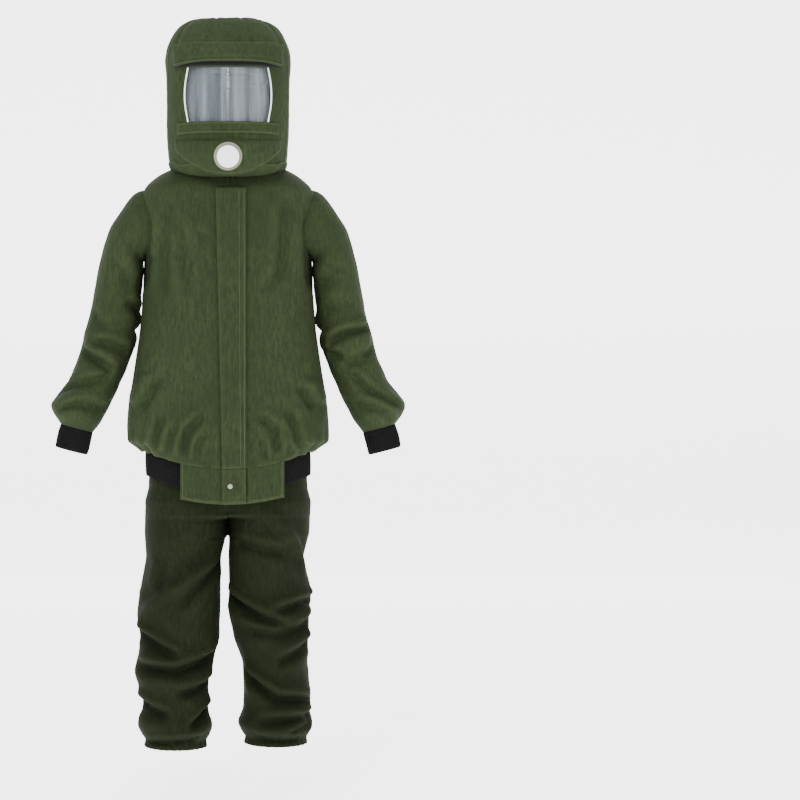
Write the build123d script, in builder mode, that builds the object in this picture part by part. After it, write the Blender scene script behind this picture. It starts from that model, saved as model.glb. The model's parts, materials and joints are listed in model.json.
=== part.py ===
from build123d import *
import math
import os

# Chemical protective suit: a hooded jacket with a clear visor and a separate pair of trousers, as worn.
# Millimetres. Origin at the middle of the neckline, +Z up, -Y to the front, +X to the wearer's left.

CLOTH = 2.4           # shell cloth with its seam allowances, as a stiff sheet
GAP = 0.4             # clearance between pieces that move apart
EPS = 0.02            # faces that meet inside one body stand this far apart

# Jacket body: height, width, front, back, corner radius. The front is one straight, slightly tilted plane.
FRONT_TOP_Z = -35.0
FRONT_TOP_Y = -105.0
FRONT_DROP = 735.0    # from the top of the straight front to the hem
FRONT_LEAN = 45.0     # how far forward the hem stands of the top
BODY_BOTTOM = -687.0
RIB_BOTTOM = -743.0
HEM_TAB_BOTTOM = -769.0
SIDE_SEAM_Y = 22.0
BACK_SEAM_X = 158.0

# Hood
HOOD_TOP = 363.0
CROWN_SEAM_Z = 286.0
WINDOW_LOW, WINDOW_HIGH = 104.0, 229.0
WINDOW_HALF = 98.0
LENS_RADIUS = 200.0
LENS_APEX = -163.4
LENS_THICK = 1.5
FLAP_LOW, FLAP_HIGH = 237.0, 284.0
FLAP_HALF = 131.0
MESH_LOW, MESH_HIGH = 106.0, 262.0
MESH_HALF = 72.0

# Exhalation valve
VALVE_Z = 26.0
VALVE_R = 25.5
VALVE_TILT = 14.0

# Front opening
ZIP_X = 5.0
ZIP_LENGTH = 640.0
ZIP_PITCH = 5.0
FLAP_HINGE_X = 42.0
FLAP_EDGE_TOP, FLAP_EDGE_LOW = -29.0, -14.0

# Sleeves
ARMHOLE_Y, ARMHOLE_Z = 20.0, -119.0
ARMHOLE_HALF_DEPTH, ARMHOLE_HALF_HEIGHT = 85.0, 93.0
ARMHOLE_X = 130.0     # the cut through the shell stops this far from the middle
CUFF_R = 39.0
CUFF_LENGTH = 54.0

# Trousers
WAIST_TOP = -535.0
CROTCH_Z = -852.0
KNEE_TOP, KNEE_LOW = -985.0, -1105.0
HEM_TOP = -1328.0
ANKLE_R = 75.0

os.makedirs("parts", exist_ok=True)
SIDES = (("right", -1), ("left", 1))   # the wearer's right is at -X


def front_y(z):
    """Front of the jacket at a height, on its straight plane."""
    return FRONT_TOP_Y - FRONT_LEAN * (FRONT_TOP_Z - z) / FRONT_DROP


def save(piece, label):
    """Name a finished piece and write it."""
    piece.part.label = label
    export_step(piece.part, f"parts/{label}.step")


def rounded_block(levels, grow=0.0):
    """Solid through rounded rectangles at several heights, grown or shrunk all round."""
    with BuildPart() as block:
        for z, width, front, back, radius in levels:
            with BuildSketch(Plane.XY.offset(z)):
                with Locations((0, (front + back) / 2)):
                    RectangleRounded(width + 2 * grow, back - front + 2 * grow, radius + grow)
        loft(ruled=True)
    return block.part


def oval_block(stations, grow=0.0):
    """Solid through ovals on tilted planes; each station is (plane, width, depth)."""
    with BuildPart() as block:
        for plane, width, depth in stations:
            with BuildSketch(plane):
                Ellipse(width / 2 + grow, depth / 2 + grow)
        loft(ruled=True)
    return block.part


def slab(x, y, z):
    """Box from three (low, high) pairs."""
    with BuildPart() as block:
        with Locations(((x[0] + x[1]) / 2, (y[0] + y[1]) / 2, (z[0] + z[1]) / 2)):
            Box(x[1] - x[0], y[1] - y[0], z[1] - z[0])
    return block.part


BIG = 2000.0

# ---------------------------------------------------------------- jacket body

body_levels = [
    (24, 216, -46, 104, 74), (17, 268, -60, 110, 84), (0, 330, -82, 120, 98),
    (-35, 416, front_y(-35), 132, 115), (-80, 424, front_y(-80), 140, 120),
    (-150, 420, front_y(-150), 146, 125), (-212, 402, front_y(-212), 148, 124),
    (-300, 408, front_y(-300), 150, 120), (-375, 420, front_y(-375), 152, 118),
    (-465, 446, front_y(-465), 155, 118), (-558, 475, front_y(-558), 158, 120),
    (-600, 482, front_y(-600), 158, 120), (-642, 480, front_y(-642), 156, 118),
    (-675, 430, front_y(-675), 148, 112), (BODY_BOTTOM, 400, front_y(BODY_BOTTOM), 142, 108),
]
body_solid = rounded_block(body_levels)
body_clear = rounded_block(body_levels, 2 * GAP)
NECK_TILT = 22.0
neck_plane = Plane(origin=(0, 14, 0), x_dir=(1, 0, 0),
                   z_dir=(0, -math.sin(math.radians(NECK_TILT)), math.cos(math.radians(NECK_TILT))))
NECK_WIDTH, NECK_DEPTH = 186.0, 176.0

with BuildPart() as neck_bore:
    with BuildSketch(neck_plane.offset(-60)):
        Ellipse(NECK_WIDTH / 2, NECK_DEPTH / 2)
    extrude(amount=200)

with BuildPart() as body_shell:
    add(body_solid)
    for z, width, front, back, radius in body_levels:
        with BuildSketch(Plane.XY.offset(z - CLOTH if z == body_levels[0][0] else z)):
            with Locations((0, (front + back) / 2)):
                RectangleRounded(width - 2 * CLOTH, back - front - 2 * CLOTH, radius - CLOTH)
    loft(ruled=True, mode=Mode.SUBTRACT)
    add(neck_bore.part, mode=Mode.SUBTRACT)
    for start, length in ((-BIG / 4, BIG / 4 - ARMHOLE_X), (ARMHOLE_X, BIG / 4)):
        with BuildSketch(Plane.YZ.offset(start)):
            with Locations((ARMHOLE_Y, ARMHOLE_Z)):
                Ellipse(ARMHOLE_HALF_DEPTH, ARMHOLE_HALF_HEIGHT)
        extrude(amount=length, mode=Mode.SUBTRACT)

ZIP_HALF_GAP = 5.0
regions = {
    "jacket_back": slab((-BACK_SEAM_X, BACK_SEAM_X), (SIDE_SEAM_Y, BIG), (-BIG, BIG)),
    "jacket_side_right": slab((-BIG, -BACK_SEAM_X - EPS), (SIDE_SEAM_Y, BIG), (-BIG, BIG)),
    "jacket_side_left": slab((BACK_SEAM_X + EPS, BIG), (SIDE_SEAM_Y, BIG), (-BIG, BIG)),
    "jacket_front_right": slab((-BIG, ZIP_X - ZIP_HALF_GAP), (-BIG, SIDE_SEAM_Y - EPS), (-BIG, BIG)),
    "jacket_front_left": slab((ZIP_X + ZIP_HALF_GAP, BIG), (-BIG, SIDE_SEAM_Y - EPS), (-BIG, BIG)),
}
for label, region in regions.items():
    with BuildPart() as panel:
        add(body_shell.part)
        add(region, mode=Mode.INTERSECT)
    save(panel, label)

# Stand collar inside the hood's neck
COLLAR_LOW, COLLAR_HIGH = -12.0, 30.0
with BuildPart() as collar_band:
    with BuildSketch(neck_plane.offset(COLLAR_LOW)):
        Ellipse(NECK_WIDTH / 2 - EPS, NECK_DEPTH / 2 - EPS)
        Ellipse(NECK_WIDTH / 2 - CLOTH, NECK_DEPTH / 2 - CLOTH, mode=Mode.SUBTRACT)
    extrude(amount=COLLAR_HIGH - COLLAR_LOW)
    add(slab((ZIP_X - ZIP_HALF_GAP, ZIP_X + ZIP_HALF_GAP), (-BIG, 0), (-BIG, BIG)), mode=Mode.SUBTRACT)
save(collar_band, "collar_band")

# Hanger loop inside the back of the neck
LOOP_HALF = 28.0
with BuildPart() as hanger_loop:
    with BuildSketch(Plane((0, 14 + NECK_DEPTH / 2 - 13, 10), x_dir=(1, 0, 0), z_dir=(0, -1, 0))):
        Rectangle(2 * LOOP_HALF, 22)
        Rectangle(2 * LOOP_HALF - 12, 14, mode=Mode.SUBTRACT)
    extrude(amount=1.6, both=True)
save(hanger_loop, "hanger_loop")

# Knitted waist rib, from one hem tab round the back to the other
TAB_RIGHT, TAB_LEFT = -110.0, 130.0
RIB_WALL = 3.0
RIB_WIDTH, RIB_DEPTH, RIB_CORNER = 394.0, 276.0, 110.0
with BuildPart() as waist_rib:
    for grow, mode in ((0, Mode.ADD), (-RIB_WALL, Mode.SUBTRACT)):
        with BuildSketch(Plane.XY.offset(RIB_BOTTOM)):
            RectangleRounded(RIB_WIDTH + 2 * grow, RIB_DEPTH + 2 * grow, RIB_CORNER + grow)
        extrude(amount=BODY_BOTTOM - EPS - RIB_BOTTOM, mode=mode)
    add(slab((TAB_RIGHT, TAB_LEFT), (-BIG, 0), (-BIG, BIG)), mode=Mode.SUBTRACT)
save(waist_rib, "waist_rib")

# ---------------------------------------------------------------- front opening

lean = math.hypot(FRONT_LEAN, FRONT_DROP)
front_plane = Plane(origin=(0, FRONT_TOP_Y, FRONT_TOP_Z), x_dir=(1, 0, 0),
                    z_dir=(0, -FRONT_DROP / lean, FRONT_LEAN / lean))
SLOPE = FRONT_DROP / lean
BODY_DOWN = (FRONT_TOP_Z - BODY_BOTTOM) / SLOPE     # distances down the front plane
TAB_DOWN = (FRONT_TOP_Z - HEM_TAB_BOTTOM) / SLOPE


def front_plate(x0, x1, down0, down1, low, high):
    """Flat plate on the front plane, between two distances down it and two heights off it."""
    with BuildPart() as plate:
        with BuildSketch(front_plane.offset(low)):
            with Locations(((x0 + x1) / 2, -(down0 + down1) / 2)):
                Rectangle(x1 - x0, down1 - down0)
        extrude(amount=high - low)
    return plate.part


# Hem tabs that close the waistband in front; the right one reaches under the flap and carries the stud
UNDERLAP = 26.0
for label, x0, x1 in (("hem_tab_right", TAB_RIGHT + EPS, UNDERLAP),
                      ("hem_tab_left", FLAP_HINGE_X + GAP, TAB_LEFT - EPS)):
    with BuildPart() as hem_tab:
        add(front_plate(x0, x1, BODY_DOWN + EPS, TAB_DOWN, -CLOTH, 0))
    save(hem_tab, label)

# Zip: two tapes behind the front edges, two rows of teeth, one slider with its pull
ZIP_TOP_DOWN = 12.0
ZIP_LOW_DOWN = ZIP_TOP_DOWN + ZIP_LENGTH
TAPE_BACK = -CLOTH - EPS
with BuildPart() as zip_tapes:
    for side in (-1, 1):
        with BuildSketch(front_plane.offset(TAPE_BACK - 0.8)):
            with Locations((ZIP_X + side * 10.3, -(ZIP_TOP_DOWN + ZIP_LOW_DOWN) / 2)):
                Rectangle(14, ZIP_LENGTH)
        extrude(amount=0.8)
save(zip_tapes, "zip_tapes")

with BuildPart() as zip_teeth:
    rows = int(ZIP_LENGTH / ZIP_PITCH) - 2
    for side, shift in ((-1, 0.0), (1, ZIP_PITCH / 2)):
        with BuildSketch(front_plane.offset(TAPE_BACK - 1.5)):
            with Locations((ZIP_X + side * 2.9, -(ZIP_TOP_DOWN + ZIP_LOW_DOWN) / 2)):
                Rectangle(0.76, ZIP_LENGTH)
            for row in range(rows):
                with Locations((ZIP_X + side * 1.6, -(ZIP_TOP_DOWN + 6 + shift + row * ZIP_PITCH))):
                    Rectangle(2.0, 1.6)
        extrude(amount=2.2)
save(zip_teeth, "zip_teeth")

SLIDER_DOWN = ZIP_TOP_DOWN + 14.0
SLIDER_LONG = 13.0
with BuildPart() as zip_slider:
    for low, high in ((TAPE_BACK + 1.1, TAPE_BACK + 2.1), (TAPE_BACK - 2.9, TAPE_BACK - 1.9)):
        with BuildSketch(front_plane.offset(low)):
            with Locations((ZIP_X, -SLIDER_DOWN)):
                RectangleRounded(8.6, SLIDER_LONG, 2.5)
        extrude(amount=high - low)
    with BuildSketch(front_plane.offset(TAPE_BACK - 2.5)):
        with Locations((ZIP_X, -SLIDER_DOWN)):
            Rectangle(0.6, SLIDER_LONG - 4)
    extrude(amount=4.2)
    with BuildSketch(front_plane.offset(TAPE_BACK + 2.1)):
        with Locations((ZIP_X, -SLIDER_DOWN)):
            Rectangle(3.0, 4.2)
    extrude(amount=2.2)
    bridge = front_plane.offset(TAPE_BACK + 3.0)
    with BuildSketch(Plane(origin=bridge.from_local_coords((ZIP_X - 3, -SLIDER_DOWN, 0)),
                           x_dir=bridge.y_dir, z_dir=bridge.x_dir)):
        Circle(0.85)
    extrude(amount=6, mode=Mode.SUBTRACT)
save(zip_slider, "zip_slider")

with BuildPart() as zip_pull:
    with BuildSketch(front_plane.offset(TAPE_BACK + 2.45)):
        with Locations((ZIP_X, -SLIDER_DOWN - 13)):
            RectangleRounded(7.2, 30, 2.4)
        with Locations((ZIP_X, -SLIDER_DOWN)):
            Rectangle(3.7, 5.4, mode=Mode.SUBTRACT)
    extrude(amount=1.1)
    axis_plane = front_plane.offset(TAPE_BACK + 3.0)
    with BuildSketch(Plane(origin=axis_plane.from_local_coords((ZIP_X - 2.2, -SLIDER_DOWN, 0)),
                           x_dir=axis_plane.y_dir, z_dir=axis_plane.x_dir)):
        Circle(0.5)
    extrude(amount=4.4)
save(zip_pull, "zip_pull")

# Storm flap over the zip, sewn down along one edge, with its own end of the waistband
FLAP_OFF = 5.2        # leaves room for the slider and its pull
with BuildPart() as storm_flap:
    with BuildSketch(front_plane.offset(FLAP_OFF)):
        with BuildLine():
            Polyline((FLAP_HINGE_X, -6), (FLAP_EDGE_TOP, -6), (FLAP_EDGE_LOW, -BODY_DOWN),
                     (FLAP_HINGE_X, -BODY_DOWN), close=True)
        make_face()
    extrude(amount=CLOTH)
save(storm_flap, "storm_flap")

# Press stud: cap and socket through the flap's end, stud on the tab below
STUD_X, STUD_Z = 5.0, -735.0
STUD_DOWN = (FRONT_TOP_Z - STUD_Z) / SLOPE
with BuildPart() as flap_hem_end:
    add(front_plate(FLAP_EDGE_LOW, FLAP_HINGE_X, BODY_DOWN + EPS, TAB_DOWN, FLAP_OFF, FLAP_OFF + CLOTH))
    with BuildSketch(front_plane.offset(FLAP_OFF - 1)):
        with Locations((STUD_X, -STUD_DOWN)):
            Circle(3.3)
    extrude(amount=CLOTH + 2, mode=Mode.SUBTRACT)
save(flap_hem_end, "flap_hem_end")
with BuildPart() as snap_cap:
    with BuildSketch(front_plane.offset(FLAP_OFF + CLOTH + EPS)):
        with Locations((STUD_X, -STUD_DOWN)):
            Circle(6.2)
    extrude(amount=1.6, taper=25)
    with BuildSketch(front_plane.offset(FLAP_OFF - 1.8)):
        with Locations((STUD_X, -STUD_DOWN)):
            Circle(5.2)
            Circle(2.6, mode=Mode.SUBTRACT)
    extrude(amount=1.8 - EPS)
    with BuildSketch(front_plane.offset(FLAP_OFF - EPS)):
        with Locations((STUD_X, -STUD_DOWN)):
            Circle(3.2)
            Circle(2.6, mode=Mode.SUBTRACT)
    extrude(amount=CLOTH + 3 * EPS)
save(snap_cap, "snap_cap")

with BuildPart() as snap_stud:
    with BuildSketch(front_plane.offset(EPS)):
        with Locations((STUD_X, -STUD_DOWN)):
            Circle(5.0)
    extrude(amount=0.8)
    with BuildSketch(front_plane.offset(EPS + 0.8)):
        with Locations((STUD_X, -STUD_DOWN)):
            Circle(2.1)
    extrude(amount=3.6)
save(snap_stud, "snap_stud")

# ---------------------------------------------------------------- hood

hood_levels = [
    (-34, 262, -138, 112, 88), (15, 274, -158, 126, 92), (60, 284, -166, 136, 96),
    (WINDOW_LOW, 288, -168, 144, 100), (WINDOW_HIGH, 292, -168, 150, 100), (262, 298, -163, 152, 98),
    (300, 284, -151, 150, 92), (335, 250, -132, 140, 88), (355, 218, -112, 124, 80),
    (HOOD_TOP, 190, -94, 106, 72),
]
PIPING_HEIGHT = 1.8
hood_grown = {grow: rounded_block(hood_levels, grow) for grow in (-CLOTH, 0.0, PIPING_HEIGHT)}
skirt_cut = Plane(origin=(0, -150, 2), x_dir=(1, 0, 0),
                  z_dir=Vector(0, -34, 280).normalized())   # bottom edge, higher at the back
with BuildPart() as below_hood:
    with BuildSketch(skirt_cut):
        Rectangle(BIG, BIG)
    extrude(amount=-300)

with BuildPart() as hood_inside:
    add(hood_grown[-CLOTH])
    add(slab((-BIG, BIG), (-BIG, BIG), (HOOD_TOP - CLOTH, BIG)), mode=Mode.SUBTRACT)
with BuildPart() as hood_shell:
    add(hood_grown[0.0])
    add(hood_inside.part, mode=Mode.SUBTRACT)
    add(below_hood.part, mode=Mode.SUBTRACT)

FACE_SEAM_Y, REAR_SEAM_Y = -92.0, 92.0


def window_prism(grow):
    """Prism along Y with the window's outline: straight top and bottom, sides bowed outwards."""
    half, low, high = WINDOW_HALF + grow - 6, WINDOW_LOW - grow, WINDOW_HIGH + grow
    with BuildPart() as prism:
        with BuildSketch(Plane.XZ.offset(20)):
            with BuildLine():
                Line((-half, low), (half, low))
                ThreePointArc((half, low), (half + 8, (low + high) / 2), (half, high))
                Line((half, high), (-half, high))
                ThreePointArc((-half, high), (-half - 8, (low + high) / 2), (-half, low))
            make_face()
        extrude(amount=260)
    return prism.part


mesh_hole = slab((-MESH_HALF, MESH_HALF), (40, BIG), (MESH_LOW, MESH_HIGH))
valve_plane = Plane(origin=(0, -163.0, VALVE_Z), x_dir=(1, 0, 0),
                    z_dir=(0, -math.cos(math.radians(VALVE_TILT)), -math.sin(math.radians(VALVE_TILT))))
with BuildPart() as valve_hole:
    with BuildSketch(valve_plane.offset(-60)):
        Circle(19.0)
    extrude(amount=100)

hood_regions = {
    "hood_crown": (slab((-BIG, BIG), (-BIG, BIG), (CROWN_SEAM_Z + EPS, BIG)), ()),
    "hood_face_panel": (slab((-BIG, BIG), (-BIG, FACE_SEAM_Y), (-BIG, CROWN_SEAM_Z)),
                        (window_prism(0), valve_hole.part)),
    "hood_back_panel": (slab((-BIG, BIG), (REAR_SEAM_Y, BIG), (-BIG, CROWN_SEAM_Z)), (mesh_hole,)),
    "hood_side_right": (slab((-BIG, 0), (FACE_SEAM_Y + EPS, REAR_SEAM_Y - EPS), (-BIG, CROWN_SEAM_Z)), ()),
    "hood_side_left": (slab((0, BIG), (FACE_SEAM_Y + EPS, REAR_SEAM_Y - EPS), (-BIG, CROWN_SEAM_Z)), ()),
}
for label, (region, holes) in hood_regions.items():
    with BuildPart() as panel:
        add(hood_shell.part)
        add(region, mode=Mode.INTERSECT)
        for hole in holes:
            add(hole, mode=Mode.SUBTRACT)
    save(panel, label)

# Fine mesh vent, sewn in behind its opening
with BuildPart() as hood_vent_mesh:
    add(hood_grown[-CLOTH])
    add(rounded_block(hood_levels, -CLOTH - 1.0), mode=Mode.SUBTRACT)
    add(slab((-MESH_HALF - 8, MESH_HALF + 8), (40, BIG), (MESH_LOW - 8, MESH_HIGH + 8)),
        mode=Mode.INTERSECT)
save(hood_vent_mesh, "hood_vent_mesh")

# Clear visor: a sheet curved to a cylinder, held in a soft channel behind the window's edge
LENS_GROW = 9.0


def lens_cylinder(radius):
    """Upright cylinder that shares the visor's axis."""
    with BuildPart() as cylinder:
        with BuildSketch(Plane.XY.offset(0)):
            with Locations((0, LENS_APEX + LENS_RADIUS)):
                Circle(radius)
        extrude(amount=340)
    return cylinder.part


with BuildPart() as visor_lens:
    add(window_prism(LENS_GROW))
    add(lens_cylinder(LENS_RADIUS), mode=Mode.INTERSECT)
    add(lens_cylinder(LENS_RADIUS - LENS_THICK), mode=Mode.SUBTRACT)
save(visor_lens, "visor_lens")

with BuildPart() as window_gasket:
    add(window_prism(LENS_GROW))
    add(window_prism(1.0), mode=Mode.SUBTRACT)
    add(hood_grown[-CLOTH], mode=Mode.INTERSECT)
    add(lens_cylinder(LENS_RADIUS + EPS), mode=Mode.SUBTRACT)
save(window_gasket, "window_gasket")

# White piping down both sides of the window, and the padded sill band below it
PIPING = 2.4
with BuildPart() as window_piping:
    add(window_prism(PIPING))
    add(window_prism(0), mode=Mode.SUBTRACT)
    add(slab((-BIG, BIG), (-BIG, BIG), (WINDOW_LOW + EPS, WINDOW_HIGH - 2)), mode=Mode.INTERSECT)
    add(hood_grown[PIPING_HEIGHT], mode=Mode.INTERSECT)
    add(hood_grown[0.0], mode=Mode.SUBTRACT)
save(window_piping, "window_piping")

with BuildPart() as window_sill_band:
    add(slab((-118, 118), (-BIG, FACE_SEAM_Y), (76, WINDOW_LOW)))
    add(hood_grown[PIPING_HEIGHT], mode=Mode.INTERSECT)
    add(hood_grown[0.0], mode=Mode.SUBTRACT)
save(window_sill_band, "window_sill_band")

# Chin bib: a bulging panel with a curved lower edge that carries the exhalation valve
bib_levels = [(-24, 236, -150, 60, 84), (4, 262, -166, 60, 92), (30, 276, -174, 60, 98),
              (52, 282, -173, 60, 98), (66, 284, -168.6, 60, 96)]
with BuildPart() as chin_bib:
    add(rounded_block(bib_levels))
    with BuildSketch(Plane.XZ.offset(60)):
        with BuildLine():
            Line((-124, 66), (124, 66))
            Line((124, 66), (124, 44))
            ThreePointArc((124, 44), (0, -19), (-124, 44))
            Line((-124, 44), (-124, 66))
        make_face()
    extrude(amount=200, mode=Mode.INTERSECT)
    add(rounded_block(bib_levels, -CLOTH), mode=Mode.SUBTRACT)
    add(hood_grown[0.0], mode=Mode.SUBTRACT)
    add(valve_hole.part, mode=Mode.SUBTRACT)
save(chin_bib, "chin_bib")


def valve_ring(low, high, rings):
    """Stack of rings on the valve's axis: (outer, inner) radii, with no hole where inner is 0."""
    with BuildPart() as ring:
        with BuildSketch(valve_plane.offset(low)):
            for outer, inner in rings:
                Circle(outer)
                if inner:
                    Circle(inner, mode=Mode.SUBTRACT)
        extrude(amount=high - low)
    return ring.part


SEAT = 12.5           # the valve's seat stands this far off the reference plane
with BuildPart() as valve_gasket:
    add(valve_ring(SEAT, SEAT + 1.6, [(32.5, 20.0)]))
save(valve_gasket, "valve_gasket")
with BuildPart() as valve_body:
    add(valve_ring(SEAT - 20, SEAT + 3.2, [(18.6, 16.4)]))
    add(valve_ring(SEAT + 1.6 + EPS, SEAT + 3.2, [(23.0, 16.4)]))
    add(valve_ring(SEAT + 1.6, SEAT + 3.2, [(3.0, 1.4)]))
    with BuildSketch(valve_plane.offset(SEAT + 1.6)):
        with PolarLocations(9.7, 6):
            Rectangle(14.4, 1.6)
    extrude(amount=1.6)
save(valve_body, "valve_body")
with BuildPart() as valve_diaphragm:
    add(valve_ring(SEAT + 3.5, SEAT + 4.3, [(18.5, 0)]))
    add(valve_ring(SEAT - 0.5, SEAT + 3.5, [(1.1, 0)]))
save(valve_diaphragm, "valve_diaphragm")
with BuildPart() as valve_cap:
    add(valve_ring(SEAT + 2.0, SEAT + 7.6, [(VALVE_R, 23.4)]))
    add(valve_ring(SEAT + 7.6, SEAT + 9.2, [(VALVE_R, 0)]))
    fillet(valve_cap.faces().filter_by(Plane(valve_plane.origin, z_dir=valve_plane.z_dir))
           .sort_by(Axis(valve_plane.origin, valve_plane.z_dir))[-1].edges(), 1.2)
save(valve_cap, "valve_cap")

# Brow flap over the window's top edge: hinged on its upper seam, standing a little proud below
FLAP_AXIS_Y = -169.0
flap_levels = [(FLAP_LOW - 14, 300, -184, 100, 96), (FLAP_LOW, 302, -181, 100, 98),
               (FLAP_HIGH, 302, FLAP_AXIS_Y, 100, 104)]
with BuildPart() as brow_flap:
    add(rounded_block(flap_levels))
    add(rounded_block(flap_levels, -CLOTH), mode=Mode.SUBTRACT)
    with BuildSketch(Plane.XZ.offset(90)):
        with BuildLine():
            ThreePointArc((-FLAP_HALF + 22, FLAP_LOW - 2), (0, FLAP_LOW + 4),
                          (FLAP_HALF - 22, FLAP_LOW - 2))
            Line((FLAP_HALF - 22, FLAP_LOW - 2), (FLAP_HALF, FLAP_HIGH - 16))
            Line((FLAP_HALF, FLAP_HIGH - 16), (FLAP_HALF - 4, FLAP_HIGH))
            Line((FLAP_HALF - 4, FLAP_HIGH), (-FLAP_HALF + 4, FLAP_HIGH))
            Line((-FLAP_HALF + 4, FLAP_HIGH), (-FLAP_HALF, FLAP_HIGH - 16))
            Line((-FLAP_HALF, FLAP_HIGH - 16), (-FLAP_HALF + 22, FLAP_LOW - 2))
        make_face()
    extrude(amount=140, mode=Mode.INTERSECT)
save(brow_flap, "brow_flap")

# Hook strip under the flap's lower edge, and the loop strip that it presses on
with BuildPart() as brow_hook_tape:
    add(rounded_block(flap_levels, -CLOTH - EPS))
    add(rounded_block(flap_levels, -CLOTH - 1.6), mode=Mode.SUBTRACT)
    add(slab((-104, 104), (-BIG, -100), (FLAP_LOW + 4.5, FLAP_LOW + 20)), mode=Mode.INTERSECT)
save(brow_hook_tape, "brow_hook_tape")
with BuildPart() as brow_loop_tape:
    add(slab((-120, 120), (-BIG, -100), (WINDOW_HIGH + 3, FLAP_LOW + 16)))
    add(hood_grown[PIPING_HEIGHT], mode=Mode.INTERSECT)
    add(hood_grown[0.0], mode=Mode.SUBTRACT)
save(brow_loop_tape, "brow_loop_tape")

# Neck skirt between the collar and the hood's lower edge
skirt_stations = [
    (neck_plane.offset(COLLAR_HIGH + 12), NECK_WIDTH - 10, NECK_DEPTH - 10),
    (Plane(origin=(0, 2, 40), x_dir=(1, 0, 0), z_dir=Vector(0, -0.26, 0.966)), 214, 204),
    (Plane(origin=(0, -8, 49), x_dir=(1, 0, 0), z_dir=Vector(0, -0.18, 0.984)), 238, 242),
]
with BuildPart() as neck_skirt:
    add(oval_block(skirt_stations))
    add(oval_block(skirt_stations, -1.6), mode=Mode.SUBTRACT)
save(neck_skirt, "neck_skirt")

# Head harness inside the hood: a band, a crown strap each way, and a size slider at the nape
BAND_Z, BAND_Y = 226.0, -8.0
band_half = (79.0, 98.0)
with BuildPart() as head_band:
    for grow, mode in ((0, Mode.ADD), (-2.0, Mode.SUBTRACT)):
        with BuildSketch(Plane.XY.offset(BAND_Z)):
            with Locations((0, BAND_Y)):
                RectangleRounded(2 * (band_half[0] + grow), 2 * (band_half[1] + grow), 66 + grow)
        extrude(amount=24, mode=mode)
save(head_band, "head_band")
with BuildPart() as crown_straps:
    for plane, shift, half, rise in ((Plane.XZ.offset(-BAND_Y), 0, band_half[0], 62.0),
                                     (Plane.YZ, BAND_Y, band_half[1], 59.0)):
        with BuildSketch(plane.offset(-11)):
            with Locations((shift, BAND_Z + 24 + EPS)):
                Ellipse(half, rise)
                Ellipse(half - 1.8, rise - 1.8, mode=Mode.SUBTRACT)
            with Locations((shift, BAND_Z + 24 + EPS - 100)):
                Rectangle(300, 200, mode=Mode.SUBTRACT)
        extrude(amount=22)
save(crown_straps, "crown_straps")
with BuildPart() as size_slider:
    rear = BAND_Y + band_half[1]
    for low, high in ((rear + 0.4, rear + 2.6), (rear - 4.6, rear - 2.4)):
        add(slab((-5, 5), (low, high), (BAND_Z - 2.6, BAND_Z + 23.4)))
    add(slab((-5, 5), (rear - 4.6, rear + 2.6), (BAND_Z - 2.6, BAND_Z - 0.4)))
save(size_slider, "size_slider")

# ---------------------------------------------------------------- sleeves


def aimed(x, y, z, angle, side):
    """Plane across a sleeve: angle is how far its axis leans from straight down towards the side."""
    lean_x = side * math.sin(math.radians(angle))
    drop = math.cos(math.radians(angle))
    return Plane(origin=(side * x, y, z), x_dir=(drop, 0, lean_x), z_dir=(lean_x, 0, -drop))


# Stretches of a sleeve: middle x, y, z of each oval, its axis' lean, width across and depth
sleeve_shapes = {
    "shoulder_gusset": [(168, 20, -119, 90, 182, 166), (210, 20, -125, 80, 176, 164),
                        (243, 20, -165, 45, 114, 158)],
    "sleeve_upper": [(243.6, 20, -165.6, 45, 114, 158), (250, 19, -200, 25, 110, 154),
                     (259, 18, -250, 15.5, 112, 150), (272, 14, -345, 15.5, 118, 145)],
    "sleeve_elbow": [(272.2, 14, -345.6, 15.5, 118, 145), (283, 8, -392, 16, 124, 141),
                     (296, 5, -440, 17, 118, 136)],
    "sleeve_lower": [(296.2, 5, -440.6, 17, 118, 136), (325, -8, -510, 19, 116, 130),
                     (362, -18, -566, 17, 132, 134), (360, -21, -590, 15, 100, 106),
                     (358, -23, -602, 15, 2 * CUFF_R, 2 * CUFF_R)],
}
for name, side in SIDES:
    for stretch, ovals in sleeve_shapes.items():
        stations = [(aimed(x, y, z, angle, side), width, depth) for x, y, z, angle, width, depth in ovals]
        with BuildPart() as tube:
            add(oval_block(stations))
            add(oval_block(stations, -CLOTH), mode=Mode.SUBTRACT)
            add(body_clear, mode=Mode.SUBTRACT)
        save(tube, f"{stretch}_{name}")
    with BuildPart() as cuff:
        with BuildSketch(aimed(358.1, -23, -602.4, 15, side)):
            Circle(CUFF_R)
            Circle(CUFF_R - RIB_WALL, mode=Mode.SUBTRACT)
        extrude(amount=CUFF_LENGTH)
    save(cuff, f"cuff_{name}")

# ---------------------------------------------------------------- trousers

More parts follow.
